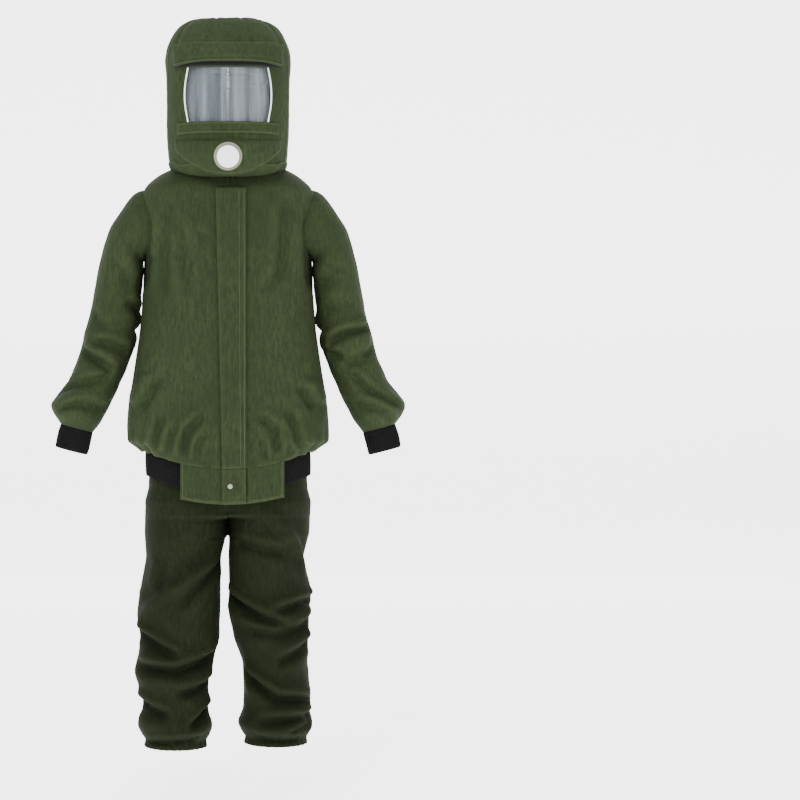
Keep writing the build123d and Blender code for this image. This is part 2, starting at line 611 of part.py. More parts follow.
SEAT_LOW = -812.0
seat_levels = [(WAIST_TOP, 350, -104, 116, 92), (-640, 368, -112, 124, 98), (-745, 378, -120, 130, 100),
               (-775, 394, -122, 136, 104), (SEAT_LOW, 390, -118, 134, 112)]
LEG_Y = 8.0
leg_stations = {   # height, centre from the middle, width, depth
    "right": [(-790, 94, 206, 240), (CROTCH_Z, 101, 196, 236), (-909, 106, 178, 222),
              (KNEE_TOP, 113, 192, 214), (-1045, 118, 200, 208), (KNEE_LOW, 114, 188, 200),
              (-1185, 134, 180, 188), (-1245, 126, 154, 178), (-1300, 126, 162, 172),
              (HEM_TOP, 124, 2 * ANKLE_R, 2 * ANKLE_R)],
    "left": [(-790, 94, 206, 240), (CROTCH_Z, 98, 192, 236), (-909, 90, 178, 222),
             (KNEE_TOP, 100, 196, 214), (-1045, 98, 192, 208), (KNEE_LOW, 103, 176, 200),
             (-1160, 112, 154, 190), (-1230, 118, 160, 180), (-1300, 112, 158, 172),
             (HEM_TOP, 114, 2 * ANKLE_R, 2 * ANKLE_R)],
}
HEM_LENGTH = {"right": 32.0, "left": 24.0}


def leg_block(name, side, low, high, grow=0.0):
    """One leg between two heights, as ovals at its stations."""
    stations = [(Plane(origin=(side * x, LEG_Y, z), x_dir=(1, 0, 0), z_dir=(0, 0, -1)), width, depth)
                for z, x, width, depth in leg_stations[name] if low <= z <= high]
    return oval_block(stations, grow)


with BuildPart() as seat_outer:
    add(rounded_block(seat_levels))
    for name, side in SIDES:
        add(leg_block(name, side, KNEE_TOP, WAIST_TOP))
with BuildPart() as seat_inner:
    add(rounded_block(seat_levels, -CLOTH))
    add(slab((-BIG, BIG), (-BIG, BIG), (SEAT_LOW - 1, SEAT_LOW + CLOTH)), mode=Mode.SUBTRACT)
    for name, side in SIDES:
        add(leg_block(name, side, KNEE_TOP, WAIST_TOP, -CLOTH))
WAISTBAND = 42.0
for label, y_range in (("trousers_front", (-BIG, SIDE_SEAM_Y - EPS)),
                       ("trousers_back", (SIDE_SEAM_Y, BIG))):
    with BuildPart() as panel:
        add(seat_outer.part)
        add(seat_inner.part, mode=Mode.SUBTRACT)
        add(slab((-BIG, BIG), y_range, (-BIG, WAIST_TOP - WAISTBAND - EPS)), mode=Mode.INTERSECT)
    save(panel, label)
with BuildPart() as trousers_waistband:
    add(rounded_block(seat_levels))
    add(rounded_block(seat_levels, -3.0), mode=Mode.SUBTRACT)
    add(slab((-BIG, BIG), (-BIG, BIG), (WAIST_TOP - WAISTBAND, BIG)), mode=Mode.INTERSECT)
save(trousers_waistband, "trousers_waistband")

for name, side in SIDES:
    for label, low, high in (("knee", KNEE_LOW, KNEE_TOP), ("shin", HEM_TOP, KNEE_LOW)):
        with BuildPart() as tube:
            add(leg_block(name, side, low, high))
            add(leg_block(name, side, low, high, -CLOTH), mode=Mode.SUBTRACT)
            add(slab((-BIG, BIG), (-BIG, BIG), (low, high - GAP)), mode=Mode.INTERSECT)
        save(tube, f"{label}_{name}")
    with BuildPart() as hem:
        with BuildSketch(Plane.XY.offset(HEM_TOP - EPS)):
            with Locations((side * leg_stations[name][-1][1], LEG_Y)):
                Circle(ANKLE_R)
                Circle(ANKLE_R - RIB_WALL, mode=Mode.SUBTRACT)
        extrude(amount=-HEM_LENGTH[name])
    save(hem, f"hem_casing_{name}")
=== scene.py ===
import json
import math

import bmesh
import bpy
import numpy as np
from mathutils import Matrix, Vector, noise
from mathutils.bvhtree import BVHTree
from mathutils.kdtree import KDTree


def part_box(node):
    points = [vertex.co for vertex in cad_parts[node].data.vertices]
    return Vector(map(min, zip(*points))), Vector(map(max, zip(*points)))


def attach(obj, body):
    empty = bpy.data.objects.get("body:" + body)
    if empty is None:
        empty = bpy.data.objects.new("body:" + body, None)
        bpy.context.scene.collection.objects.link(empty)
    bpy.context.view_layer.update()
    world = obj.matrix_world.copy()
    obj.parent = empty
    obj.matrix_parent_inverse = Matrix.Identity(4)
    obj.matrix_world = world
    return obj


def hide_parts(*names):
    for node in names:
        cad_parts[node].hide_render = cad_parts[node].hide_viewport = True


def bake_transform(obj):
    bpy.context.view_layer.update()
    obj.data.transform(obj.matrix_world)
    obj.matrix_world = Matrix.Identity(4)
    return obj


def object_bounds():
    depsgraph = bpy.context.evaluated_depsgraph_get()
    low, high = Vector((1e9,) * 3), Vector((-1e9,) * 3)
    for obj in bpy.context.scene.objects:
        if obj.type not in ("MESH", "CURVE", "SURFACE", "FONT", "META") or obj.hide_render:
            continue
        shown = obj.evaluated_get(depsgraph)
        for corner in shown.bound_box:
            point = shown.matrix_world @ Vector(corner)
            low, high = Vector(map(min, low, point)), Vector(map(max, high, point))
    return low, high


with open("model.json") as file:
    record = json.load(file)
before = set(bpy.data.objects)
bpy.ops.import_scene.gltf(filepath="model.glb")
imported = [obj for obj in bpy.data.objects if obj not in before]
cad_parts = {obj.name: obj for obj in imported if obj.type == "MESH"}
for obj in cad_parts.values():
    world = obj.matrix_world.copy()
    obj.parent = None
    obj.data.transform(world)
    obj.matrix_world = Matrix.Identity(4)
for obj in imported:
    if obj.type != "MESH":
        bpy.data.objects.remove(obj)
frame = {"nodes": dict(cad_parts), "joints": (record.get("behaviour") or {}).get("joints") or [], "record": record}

# Looks of the chemical protective suit. Metres, +Z up, -Y to the front, +X to the wearer's left.

cad_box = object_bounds()
joint = {j["name"]: j for j in frame["joints"]}
mount = {m["name"]: m for m in frame["record"]["mounts"]}
SIDES = (("right", -1), ("left", 1))
WALL = 0.0024         # the CAD shells' wall, which probes from inside have to step over
THICK = 0.0011        # cloth as it is drawn


# ---------------------------------------------------------------- camera, light and floor

def set_camera():
    """Level camera in front of the suit, framed as a full-length studio picture."""
    low, high = Vector(cad_box[0]), Vector(cad_box[1])
    distance = 4.6
    view_height = 1.826
    camera_data = bpy.data.cameras.new("camera")
    camera_data.sensor_width = 36
    camera_data.lens = 36 * (distance + low.y) / view_height
    camera_data.shift_x = 0.215
    camera_data.clip_end = 50
    camera = bpy.data.objects.new("camera", camera_data)
    camera.location = (0.0, -distance, (low.z + high.z) / 2 - 0.037)
    camera.rotation_euler = (math.radians(90), 0, 0)
    bpy.context.scene.collection.objects.link(camera)
    bpy.context.scene.camera = camera


def area_light(name, place, target, size, power, tint=(1, 1, 1)):
    """Soft rectangular light aimed at a point."""
    data = bpy.data.lights.new(name, "AREA")
    data.shape = "RECTANGLE"
    data.size, data.size_y = size
    data.energy = power
    data.color = tint
    lamp = bpy.data.objects.new(name, data)
    lamp.location = place
    lamp.rotation_euler = (Vector(target) - Vector(place)).to_track_quat("-Z", "Y").to_euler()
    bpy.context.scene.collection.objects.link(lamp)


def set_stage():
    """Pale floor and backdrop, with soft light from above and both sides."""
    floor_z = cad_box[0][2] - 0.115
    verts, faces = [], []
    profile = [(-8.0, 0.0), (5.2, 0.0)]
    profile += [(5.2 + 1.6 * math.sin(a), 1.6 - 1.6 * math.cos(a))
                for a in [math.radians(9 * k) for k in range(1, 11)]]
    profile += [(6.8, 9.0)]
    for x in (-12.0, 12.0):
        verts += [(x, y, floor_z + z) for y, z in profile]
    n = len(profile)
    faces = [(k, k + 1, n + k + 1, n + k) for k in range(n - 1)]
    mesh = bpy.data.meshes.new("studio_floor")
    mesh.from_pydata(verts, [], faces)
    mesh.polygons.foreach_set("use_smooth", [True] * len(faces))
    floor = bpy.data.objects.new("studio_floor", mesh)
    bpy.context.scene.collection.objects.link(floor)
    paper = bpy.data.materials.new("studio_paper")
    paper.use_nodes = True
    shader = paper.node_tree.nodes["Principled BSDF"]
    shader.inputs["Base Color"].default_value = (0.97, 0.97, 0.97, 1)
    shader.inputs["Roughness"].default_value = 0.9
    shader.inputs["Emission Color"].default_value = (1, 1, 1, 1)
    shader.inputs["Emission Strength"].default_value = 2.3
    mesh.materials.append(paper)
    world = bpy.data.worlds.new("studio")
    world.use_nodes = True
    world.node_tree.nodes["Background"].inputs["Color"].default_value = (1.0, 1.0, 1.0, 1)
    world.node_tree.nodes["Background"].inputs["Strength"].default_value = 1.05
    bpy.context.scene.world = world
    area_light("key_light", (-1.6, -3.2, 1.9), (0, 0, -0.4), (1.6, 1.6), 120)
    area_light("fill_light", (2.4, -2.8, 0.6), (0, 0, -0.5), (1.6, 2.2), 50)
    area_light("top_light", (0.0, 0.2, 2.6), (0, 0, -0.3), (2.2, 1.6), 60)
    area_light("strip_light", (0.0, -3.2, 1.05), (0, -0.17, 0.16), (0.14, 1.7), 22)


# ---------------------------------------------------------------- grids read from the frame

def tree_of(*nodes):
    """One search tree over several CAD nodes."""
    verts, faces = [], []
    for node in nodes:
        mesh = frame["nodes"][node].data
        base = len(verts)
        verts += [v.co.copy() for v in mesh.vertices]
        faces += [[base + i for i in p.vertices] for p in mesh.polygons]
    return BVHTree.FromPolygons(verts, faces)


def probe(tree, origin, direction, fallback=None):
    """Outer face of a CAD shell, found from inside it."""
    direction = Vector(direction).normalized()
    hit = tree.ray_cast(Vector(origin), direction)
    if hit[0] is None:
        return fallback
    return hit[0] + direction * WALL


def fill_gaps(line):
    """Replace the missing points of a line by points between, or beside, the known ones."""
    known = [k for k, p in enumerate(line) if p is not None]
    out = list(line)
    for k in range(len(line)):
        if out[k] is not None:
            continue
        before = max((j for j in known if j < k), default=None)
        after = min((j for j in known if j > k), default=None)
        if before is None:
            out[k] = line[after].copy()
        elif after is None:
            out[k] = line[before].copy()
        else:
            out[k] = line[before].lerp(line[after], (k - before) / (after - before))
    return out


def as_grid(rows):
    """Rows of vectors as an array of rows x columns x 3."""
    return np.array([[tuple(p) for p in row] for row in rows])


def smooth_grid(grid, steps, closed, keep_rows=()):
    """Even out a grid, leaving its first and last rows and any named rows."""
    g = grid.copy()
    for _ in range(steps):
        side = (np.roll(g, 1, 1) + np.roll(g, -1, 1)) / 2
        if not closed:
            side[:, 0], side[:, -1] = g[:, 0], g[:, -1]
        new = g.copy()
        new[1:-1] = 0.4 * g[1:-1] + 0.3 * side[1:-1] + 0.15 * (g[:-2] + g[2:])
        for r in keep_rows:
            new[r] = g[r]
        g = new
    return g


def sample(grid, rows, cols, closed):
    """Points of a grid at fractional rows and columns, by Catmull-Rom in both directions."""
    rows, cols = np.asarray(rows, float), np.asarray(cols, float)
    n_rows, n_cols = grid.shape[:2]

    def weights(t):
        return (-0.5 * t + t * t - 0.5 * t ** 3, 1 - 2.5 * t * t + 1.5 * t ** 3,
                0.5 * t + 2 * t * t - 1.5 * t ** 3, -0.5 * t * t + 0.5 * t ** 3)

    r0, c0 = np.floor(rows).astype(int), np.floor(cols).astype(int)
    wr, wc = weights(rows - r0), weights(cols - c0)
    out = np.zeros(rows.shape + (3,))
    for i in range(4):
        r = np.clip(r0 + i - 1, 0, n_rows - 1)
        for j in range(4):
            c = (c0 + j - 1) % n_cols if closed else np.clip(c0 + j - 1, 0, n_cols - 1)
            out += (wr[i] * wc[j])[..., None] * grid[r, c]
    return out


def grid_faces(rows, cols, closed, skip=None):
    """Quads over a grid of points; skip(row, col) leaves a quad out."""
    faces = []
    for r in range(rows - 1):
        for c in range(cols if closed else cols - 1):
            if skip and skip(r, c):
                continue
            d = (c + 1) % cols
            faces.append((r * cols + c, r * cols + d, (r + 1) * cols + d, (r + 1) * cols + c))
    return faces


def make_mesh(name, points, faces):
    """Object from points and faces, without points that no face uses."""
    points = np.asarray(points).reshape(-1, 3)
    used = np.unique(np.array([i for f in faces for i in f]))
    index = {int(v): k for k, v in enumerate(used)}
    mesh = bpy.data.meshes.new(name)
    mesh.from_pydata([tuple(points[v]) for v in used], [], [[index[i] for i in f] for f in faces])
    mesh.polygons.foreach_set("use_smooth", [True] * len(mesh.polygons))
    mesh.update()
    obj = bpy.data.objects.new(name, mesh)
    bpy.context.scene.collection.objects.link(obj)
    return obj


# ---------------------------------------------------------------- cloth simulation

def drape(points, faces, rest, pins, frames=24, gravity=0.3, bending=0.3, stiff=8.0, goal=1.0):
    """Settle cloth whose rest lengths come from a second set of points, and return the new points."""
    points = np.asarray(points, float).reshape(-1, 3)
    rest = np.asarray(rest, float).reshape(-1, 3)
    mesh = bpy.data.meshes.new("drape")
    mesh.from_pydata([tuple(p) for p in points], [], faces)
    obj = bpy.data.objects.new("drape", mesh)
    bpy.context.scene.collection.objects.link(obj)
    obj.shape_key_add(name="Basis")
    key = obj.shape_key_add(name="cut")
    key.data.foreach_set("co", rest.astype(np.float32).ravel())
    group = obj.vertex_groups.new(name="pin")
    for level in np.unique(np.round(pins, 3)):
        if level > 0:
            group.add([int(i) for i in np.nonzero(np.round(pins, 3) == level)[0]],
                      float(level) ** 0.25, "REPLACE")
    cloth = obj.modifiers.new("cloth", "CLOTH")
    s = cloth.settings
    s.quality = 5
    s.mass = 0.05
    s.tension_stiffness = s.compression_stiffness = stiff
    s.shear_stiffness = stiff * 0.5
    s.bending_stiffness = bending
    s.tension_damping = s.compression_damping = s.shear_damping = 8
    s.air_damping = 4
    s.vertex_group_mass = "pin"
    s.pin_stiffness = 40 * goal
    s.rest_shape_key = key
    s.effector_weights.gravity = gravity
    cloth.collision_settings.use_collision = False
    cloth.collision_settings.use_self_collision = False
    cloth.point_cache.frame_start = 1
    cloth.point_cache.frame_end = frames
    scene = bpy.context.scene
    for f in range(1, frames + 1):
        scene.frame_set(f)
    shaped = obj.evaluated_get(bpy.context.evaluated_depsgraph_get())
    out = np.zeros(len(points) * 3)
    shaped.data.vertices.foreach_get("co", out)
    scene.frame_set(1)
    bpy.data.objects.remove(obj)
    bpy.data.meshes.remove(mesh)
    return out.reshape(-1, 3)


# ---------------------------------------------------------------- materials

def node_material(name):
    """Empty node material with its Principled shader."""
    material = bpy.data.materials.new(name)
    material.use_nodes = True
    tree = material.node_tree
    return material, tree, tree.nodes["Principled BSDF"]


def add_node(tree, kind, **values):
    """Node with its inputs and properties set by name."""
    node = tree.nodes.new(kind)
    for key, value in values.items():
        if key in node.inputs:
            node.inputs[key].default_value = value
        else:
            setattr(node, key, value)
    return node


def object_coords(tree, scale=(1, 1, 1), rotation=(0, 0, 0)):
    """Object coordinates through a mapping."""
    source = tree.nodes.new("ShaderNodeTexCoord")
    mapping = tree.nodes.new("ShaderNodeMapping")
    mapping.inputs["Scale"].default_value = scale
    mapping.inputs["Rotation"].default_value = rotation
    tree.links.new(source.outputs["Object"], mapping.inputs["Vector"])
    return mapping.outputs["Vector"]


def mix_colors(tree, factor, a, b):
    """Colour between two colours or sockets."""
    mix = tree.nodes.new("ShaderNodeMix")
    mix.data_type = "RGBA"
    tree.links.new(factor, mix.inputs[0])
    for socket, value in ((mix.inputs[6], a), (mix.inputs[7], b)):
        if isinstance(value, tuple):
            socket.default_value = (*value, 1)
        else:
            tree.links.new(value, socket)
    return mix.outputs[2]


def ramp(tree, value, low, high, bottom=0.0, top=1.0):
    """Value stretched so that low becomes bottom and high becomes top."""
    node = tree.nodes.new("ShaderNodeMapRange")
    node.inputs["From Min"].default_value = low
    node.inputs["From Max"].default_value = high
    node.inputs["To Min"].default_value = bottom
    node.inputs["To Max"].default_value = top
    tree.links.new(value, node.inputs["Value"])
    return node.outputs["Result"]


def twill(name, base, light, dark, sheen, specular):
    """Heavy cotton twill: fine diagonal weave, slubs, faded and grimy patches."""
    material, tree, shader = node_material(name)
    link = tree.links.new
    place = object_coords(tree)
    weave = add_node(tree, "ShaderNodeTexWave", Scale=420.0, Distortion=1.2)
    weave.inputs["Detail"].default_value = 2.0
    weave.inputs["Detail Scale"].default_value = 3.0
    weave.bands_direction = "DIAGONAL"
    link(place, weave.inputs["Vector"])
    yarn = add_node(tree, "ShaderNodeTexWave", Scale=310.0, Distortion=0.6)
    yarn.bands_direction = "Z"
    link(place, yarn.inputs["Vector"])
    patches = add_node(tree, "ShaderNodeTexNoise", Scale=7.0, Detail=5.0, Roughness=0.6)
    link(place, patches.inputs["Vector"])
    slub = add_node(tree, "ShaderNodeTexNoise", Scale=160.0, Detail=4.0, Roughness=0.7)
    link(object_coords(tree, (1, 1, 0.25)), slub.inputs["Vector"])
    faded = mix_colors(tree, ramp(tree, patches.outputs["Fac"], 0.35, 0.68), base, light)
    grain = mix_colors(tree, ramp(tree, slub.outputs["Fac"], 0.62, 0.38), faded, dark)
    both = mix_colors(tree, ramp(tree, weave.outputs["Fac"], 1.9, -0.6), grain, dark)
    geometry = tree.nodes.new("ShaderNodeNewGeometry")
    edge = ramp(tree, geometry.outputs["Pointiness"], 0.49, 0.75)
    worn = mix_colors(tree, edge, both, light)
    link(worn, shader.inputs["Base Color"])
    rough = ramp(tree, slub.outputs["Fac"], 0.0, 1.0)
    link(ramp(tree, rough, 0.0, 1.0, 0.78, 0.95), shader.inputs["Roughness"])
    height = tree.nodes.new("ShaderNodeMath")
    height.operation = "ADD"
    link(weave.outputs["Fac"], height.inputs[0])
    link(yarn.outputs["Fac"], height.inputs[1])
    fine = add_node(tree, "ShaderNodeBump", Strength=0.22, Distance=0.0004)
    link(height.outputs["Value"], fine.inputs["Height"])
    crease = add_node(tree, "ShaderNodeTexNoise", Scale=34.0, Detail=6.0, Roughness=0.62,
                      Distortion=0.8)
    link(place, crease.inputs["Vector"])
    coarse = add_node(tree, "ShaderNodeBump", Strength=0.32, Distance=0.004)
    link(crease.outputs["Fac"], coarse.inputs["Height"])
    link(fine.outputs["Normal"], coarse.inputs["Normal"])
    link(coarse.outputs["Normal"], shader.inputs["Normal"])
    shader.inputs["Specular IOR Level"].default_value = specular
    shader.inputs["Sheen Weight"].default_value = sheen
    shader.inputs["Sheen Roughness"].default_value = 0.45
    shader.inputs["Sheen Tint"].default_value = (*light, 1)
    return material


def knit(name, base, light):
    """Ribbed knit: small stitches over fuzzy yarn."""
    material, tree, shader = node_material(name)
    link = tree.links.new
    place = object_coords(tree)
    stitches = add_node(tree, "ShaderNodeTexWave", Scale=190.0, Distortion=2.5)
    stitches.bands_direction = "Z"
    link(place, stitches.inputs["Vector"])
    fuzz = add_node(tree, "ShaderNodeTexNoise", Scale=420.0, Detail=4.0, Roughness=0.7)
    link(place, fuzz.inputs["Vector"])
    link(mix_colors(tree, ramp(tree, fuzz.outputs["Fac"], 0.35, 0.75), base, light),
         shader.inputs["Base Color"])
    height = tree.nodes.new("ShaderNodeMath")
    height.operation = "ADD"
    link(stitches.outputs["Fac"], height.inputs[0])
    link(fuzz.outputs["Fac"], height.inputs[1])
    bump = add_node(tree, "ShaderNodeBump", Strength=0.5, Distance=0.0006)
    link(height.outputs["Value"], bump.inputs["Height"])
    link(bump.outputs["Normal"], shader.inputs["Normal"])
    link(ramp(tree, fuzz.outputs["Fac"], -4.0, 0.9), shader.inputs["Roughness"])
    shader.inputs["Specular IOR Level"].default_value = 0.06
    shader.inputs["Sheen Weight"].default_value = 0.03
    shader.inputs["Sheen Roughness"].default_value = 0.4
    return material


def net(name, base, light):
    """Fine black net: round holes between yarns, which let some light through."""
    material, tree, shader = node_material(name)
    link = tree.links.new
    place = object_coords(tree)
    factors = []
    for direction in ("X", "Z"):
        wave = add_node(tree, "ShaderNodeTexWave", Scale=150.0, Distortion=0.15)
        wave.bands_direction = direction
        link(place, wave.inputs["Vector"])
        factors.append(wave.outputs["Fac"])
    yarn = tree.nodes.new("ShaderNodeMath")
    yarn.operation = "MAXIMUM"
    link(factors[0], yarn.inputs[0])
    link(factors[1], yarn.inputs[1])
    wear = add_node(tree, "ShaderNodeTexNoise", Scale=30.0, Detail=4.0)
    link(place, wear.inputs["Vector"])
    link(mix_colors(tree, wear.outputs["Fac"], base, light), shader.inputs["Base Color"])
    link(ramp(tree, yarn.outputs["Value"], 0.42, 0.72, 0.9), shader.inputs["Alpha"])
    bump = add_node(tree, "ShaderNodeBump", Strength=0.6, Distance=0.0005)
    link(yarn.outputs["Value"], bump.inputs["Height"])
    link(bump.outputs["Normal"], shader.inputs["Normal"])
    link(ramp(tree, wear.outputs["Fac"], -1.2, 1.4), shader.inputs["Roughness"])
    shader.inputs["Specular IOR Level"].default_value = 0.1
    material.surface_render_method = "DITHERED"
    return material


def solid(name, base, light, rough, bump=0.15, scale=90.0, metal=0.0, specular=0.5, coat=0.0):
    """Moulded, sewn or cast finish: mottled colour, uneven gloss, fine surface grain."""
    material, tree, shader = node_material(name)
    link = tree.links.new
    place = object_coords(tree)
    grain = add_node(tree, "ShaderNodeTexNoise", Scale=scale, Detail=5.0, Roughness=0.6)
    link(place, grain.inputs["Vector"])
    smear = add_node(tree, "ShaderNodeTexNoise", Scale=scale / 6, Detail=3.0)
    link(place, smear.inputs["Vector"])
    link(mix_colors(tree, ramp(tree, smear.outputs["Fac"], 0.3, 0.7), base, light),
         shader.inputs["Base Color"])
    link(ramp(tree, smear.outputs["Fac"], 0.0, 1.0, rough * 0.8, min(1.0, rough * 1.25)),
         shader.inputs["Roughness"])
    relief = add_node(tree, "ShaderNodeBump", Strength=bump, Distance=0.0005)
    link(grain.outputs["Fac"], relief.inputs["Height"])
    link(relief.outputs["Normal"], shader.inputs["Normal"])
    shader.inputs["Metallic"].default_value = metal
    shader.inputs["Specular IOR Level"].default_value = specular
    shader.inputs["Coat Weight"].default_value = coat
    return material


def clear_sheet(name):
    """Clear visor: mostly see-through and glossy, with a painted reflection: pale streaks in its colour and opacity.
    """
    material, tree, shader = node_material(name)
    link = tree.links.new
    place = object_coords(tree, (14, 14, 0.6))
    # painted reflection: a pale bluish veil over the lens, lighter and less see-through along the streaks
    reflection_streaks = add_node(tree, "ShaderNodeTexNoise", Scale=3.2, Detail=4.0, Roughness=0.65)
    link(place, reflection_streaks.inputs["Vector"])
    link(mix_colors(tree, reflection_streaks.outputs["Fac"], (0.36, 0.43, 0.5), (0.62, 0.68, 0.74)),
         shader.inputs["Base Color"])
    link(ramp(tree, reflection_streaks.outputs["Fac"], 0.35, 0.75, 0.05, 0.2), shader.inputs["Alpha"])
    haze = add_node(tree, "ShaderNodeTexNoise", Scale=60.0, Detail=3.0)
    link(object_coords(tree), haze.inputs["Vector"])
    link(ramp(tree, haze.outputs["Fac"], 0.0, 1.0, 0.03, 0.09), shader.inputs["Roughness"])
    shader.inputs["Specular IOR Level"].default_value = 0.8
    shader.inputs["IOR"].default_value = 1.5
    material.surface_render_method = "DITHERED"
    return material


def make_materials():
    """Every finish by the name of its slot in the record."""
    return {
        "cloth_green": twill("green_twill", (0.0195, 0.0305, 0.0098), (0.036, 0.049, 0.018),
                             (0.0105, 0.0165, 0.0055), 0.05,
                             0.14),
        # painted shade: the trousers get a darker copy of the jacket's green twill, for the shade that falls on them
        "cloth_trousers": twill("shade_darkened_green_twill", (0.0085, 0.0125, 0.0043),
                                (0.0155, 0.021, 0.008),
                                (0.0045, 0.0065, 0.0024), 0.015, 0.07),
        "rib_black": knit("black_rib", (0.0022, 0.0022, 0.0024), (0.008, 0.008, 0.0085)),
        "mesh_black": net("black_net", (0.008, 0.0085, 0.01), (0.02, 0.021, 0.024)),
        "tape_black": knit("black_tape", (0.006, 0.006, 0.007), (0.02, 0.02, 0.022)),
        "webbing": knit("black_webbing", (0.01, 0.01, 0.011), (0.03, 0.03, 0.032)),
        "piping_white": solid("white_piping", (0.72, 0.75, 0.68), (0.86, 0.88, 0.82), 0.45, 0.1,
                              200.0),
        "lens_clear": clear_sheet("clear_visor"),
        "gasket_black": solid("black_rubber", (0.012, 0.012, 0.012), (0.03, 0.03, 0.03), 0.6, 0.3,
                              300.0),
        "gasket_grey": solid("grey_rubber", (0.11, 0.105, 0.075), (0.16, 0.155, 0.115), 0.7, 0.3,
                             300.0),
        "valve_white": solid("white_plastic", (0.72, 0.73, 0.78), (0.8, 0.81, 0.85), 0.38, 0.1,
                             260.0, coat=0.15),
        "plastic_grey": solid("grey_plastic", (0.34, 0.35, 0.37), (0.44, 0.45, 0.47), 0.5),
        "plastic_black": solid("black_plastic", (0.012, 0.012, 0.013), (0.03, 0.03, 0.032), 0.5),
        "snap_metal": solid("snap_metal", (0.3, 0.29, 0.27), (0.5, 0.48, 0.45), 0.32, 0.2, 500.0,
                            metal=1.0),
        "slider_metal": solid("slider_metal", (0.26, 0.2, 0.1), (0.4, 0.32, 0.18), 0.42, 0.2, 500.0,
                              metal=1.0),
        "thread": solid("green_thread", (0.045, 0.062, 0.026), (0.07, 0.09, 0.04), 0.8, 0.4, 900.0),
    }


# ---------------------------------------------------------------- pieces

finish_of = {}


def dress(obj, material, body=None, nodes=(), thick=THICK, blend=None, offset=-1.0):
    """Give a piece its thickness and finish, hide the CAD nodes that it replaces, and attach it to the body that it
    follows; a piece given blend only has its transform baked in.
    """
    obj.data.materials.clear()
    obj.data.materials.append(finish_of[material])
    if thick:
        shell = obj.modifiers.new("thickness", "SOLIDIFY")
        shell.thickness = thick
        shell.offset = offset
        bpy.context.view_layer.update()
        evaluated = obj.evaluated_get(bpy.context.evaluated_depsgraph_get())
        solid_mesh = bpy.data.meshes.new_from_object(evaluated)
        obj.modifiers.clear()
        old, obj.data = obj.data, solid_mesh
        bpy.data.meshes.remove(old)
    if nodes:
        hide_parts(*nodes)
    if blend:
        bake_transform(obj)
    elif body:
        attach(obj, body)
    return obj


def soften(grid, closed, factor=2):
    """Finer grid through the same surface."""
    rows, cols = grid.shape[:2]
    r = np.linspace(0, rows - 1, (rows - 1) * factor + 1)
    c = np.arange(cols * factor) / factor if closed else np.linspace(0, cols - 1, (cols - 1) * factor + 1)
    rr, cc = np.meshgrid(r, c, indexing="ij")
    return sample(grid, rr, cc, closed)


def normals_of(grid, closed, inside):
    """Unit normals of a grid, pointing away from a point or a row of points inside it."""
    along = np.gradient(grid, axis=0)
    if closed:
        across = (np.roll(grid, -1, 1) - np.roll(grid, 1, 1)) / 2
    else:
        across = np.gradient(grid, axis=1)
    n = np.cross(along, across)
    n /= np.maximum(np.linalg.norm(n, axis=2, keepdims=True), 1e-9)
    flip = np.sign(((grid - inside) * n).sum(2, keepdims=True))
    flip[flip == 0] = 1
    return n * flip


def ripple(points, scale, seed):
    """Smooth noise at points, from -1 to 1, the same on every run."""
    flat = np.asarray(points).reshape(-1, 3)
    out = np.array([noise.noise(Vector((p[0] * scale + seed, p[1] * scale,
                                        p[2] * scale))) for p in flat])
    return out.reshape(np.asarray(points).shape[:-1])


def folds(u, v, lines, wrap=0.0, strength=1.6):
    """Depth of listed folds: a valley along each line, with the cloth bagging out above it."""
    total = np.zeros(np.shape(u))
    for depth, width, marks in lines:
        marks = np.array(marks, float)
        across = np.asarray(u, float)
        if wrap:
            middle = marks[:, 0].mean()
            across = (across - middle + wrap / 2) % wrap - wrap / 2 + middle
        lengths = np.linalg.norm(np.diff(marks, axis=0), axis=1)
        run = np.concatenate([[0], np.cumsum(lengths)])
        best = np.full(across.shape, 9.0)
        place = np.zeros(across.shape)
        above = np.ones(across.shape)
        for k in range(len(marks) - 1):
            a, d = marks[k], marks[k + 1] - marks[k]
            t = np.clip(((across - a[0]) * d[0] + (v - a[1]) * d[1]) / (d @ d), 0, 1)
            away_u, away_v = across - a[0] - t * d[0], v - a[1] - t * d[1]
            distance = np.hypot(away_u, away_v)
            nearer = distance < best
            normal = np.array([-d[1], d[0]]) * (1 if d[0] > 0 else -1)
            best = np.where(nearer, distance, best)
            place = np.where(nearer, (run[k] + t * lengths[k]) / run[-1], place)
            above = np.where(nearer, np.sign(away_u * normal[0] + away_v * normal[1]), above)
        s = best * above
        taper = np.clip(np.minimum(place, 1 - place) / 0.22, 0, 1)
        taper = taper * taper * (3 - 2 * taper)
        shape = -np.exp(-(s / width) ** 2) + 0.62 * np.exp(-((s - 1.8 * width) / (1.25 * width)) ** 2)
        shape += 0.3 * np.exp(-((s + 2.0 * width) / (1.5 * width)) ** 2)
        total += strength * depth * taper * shape
    return total


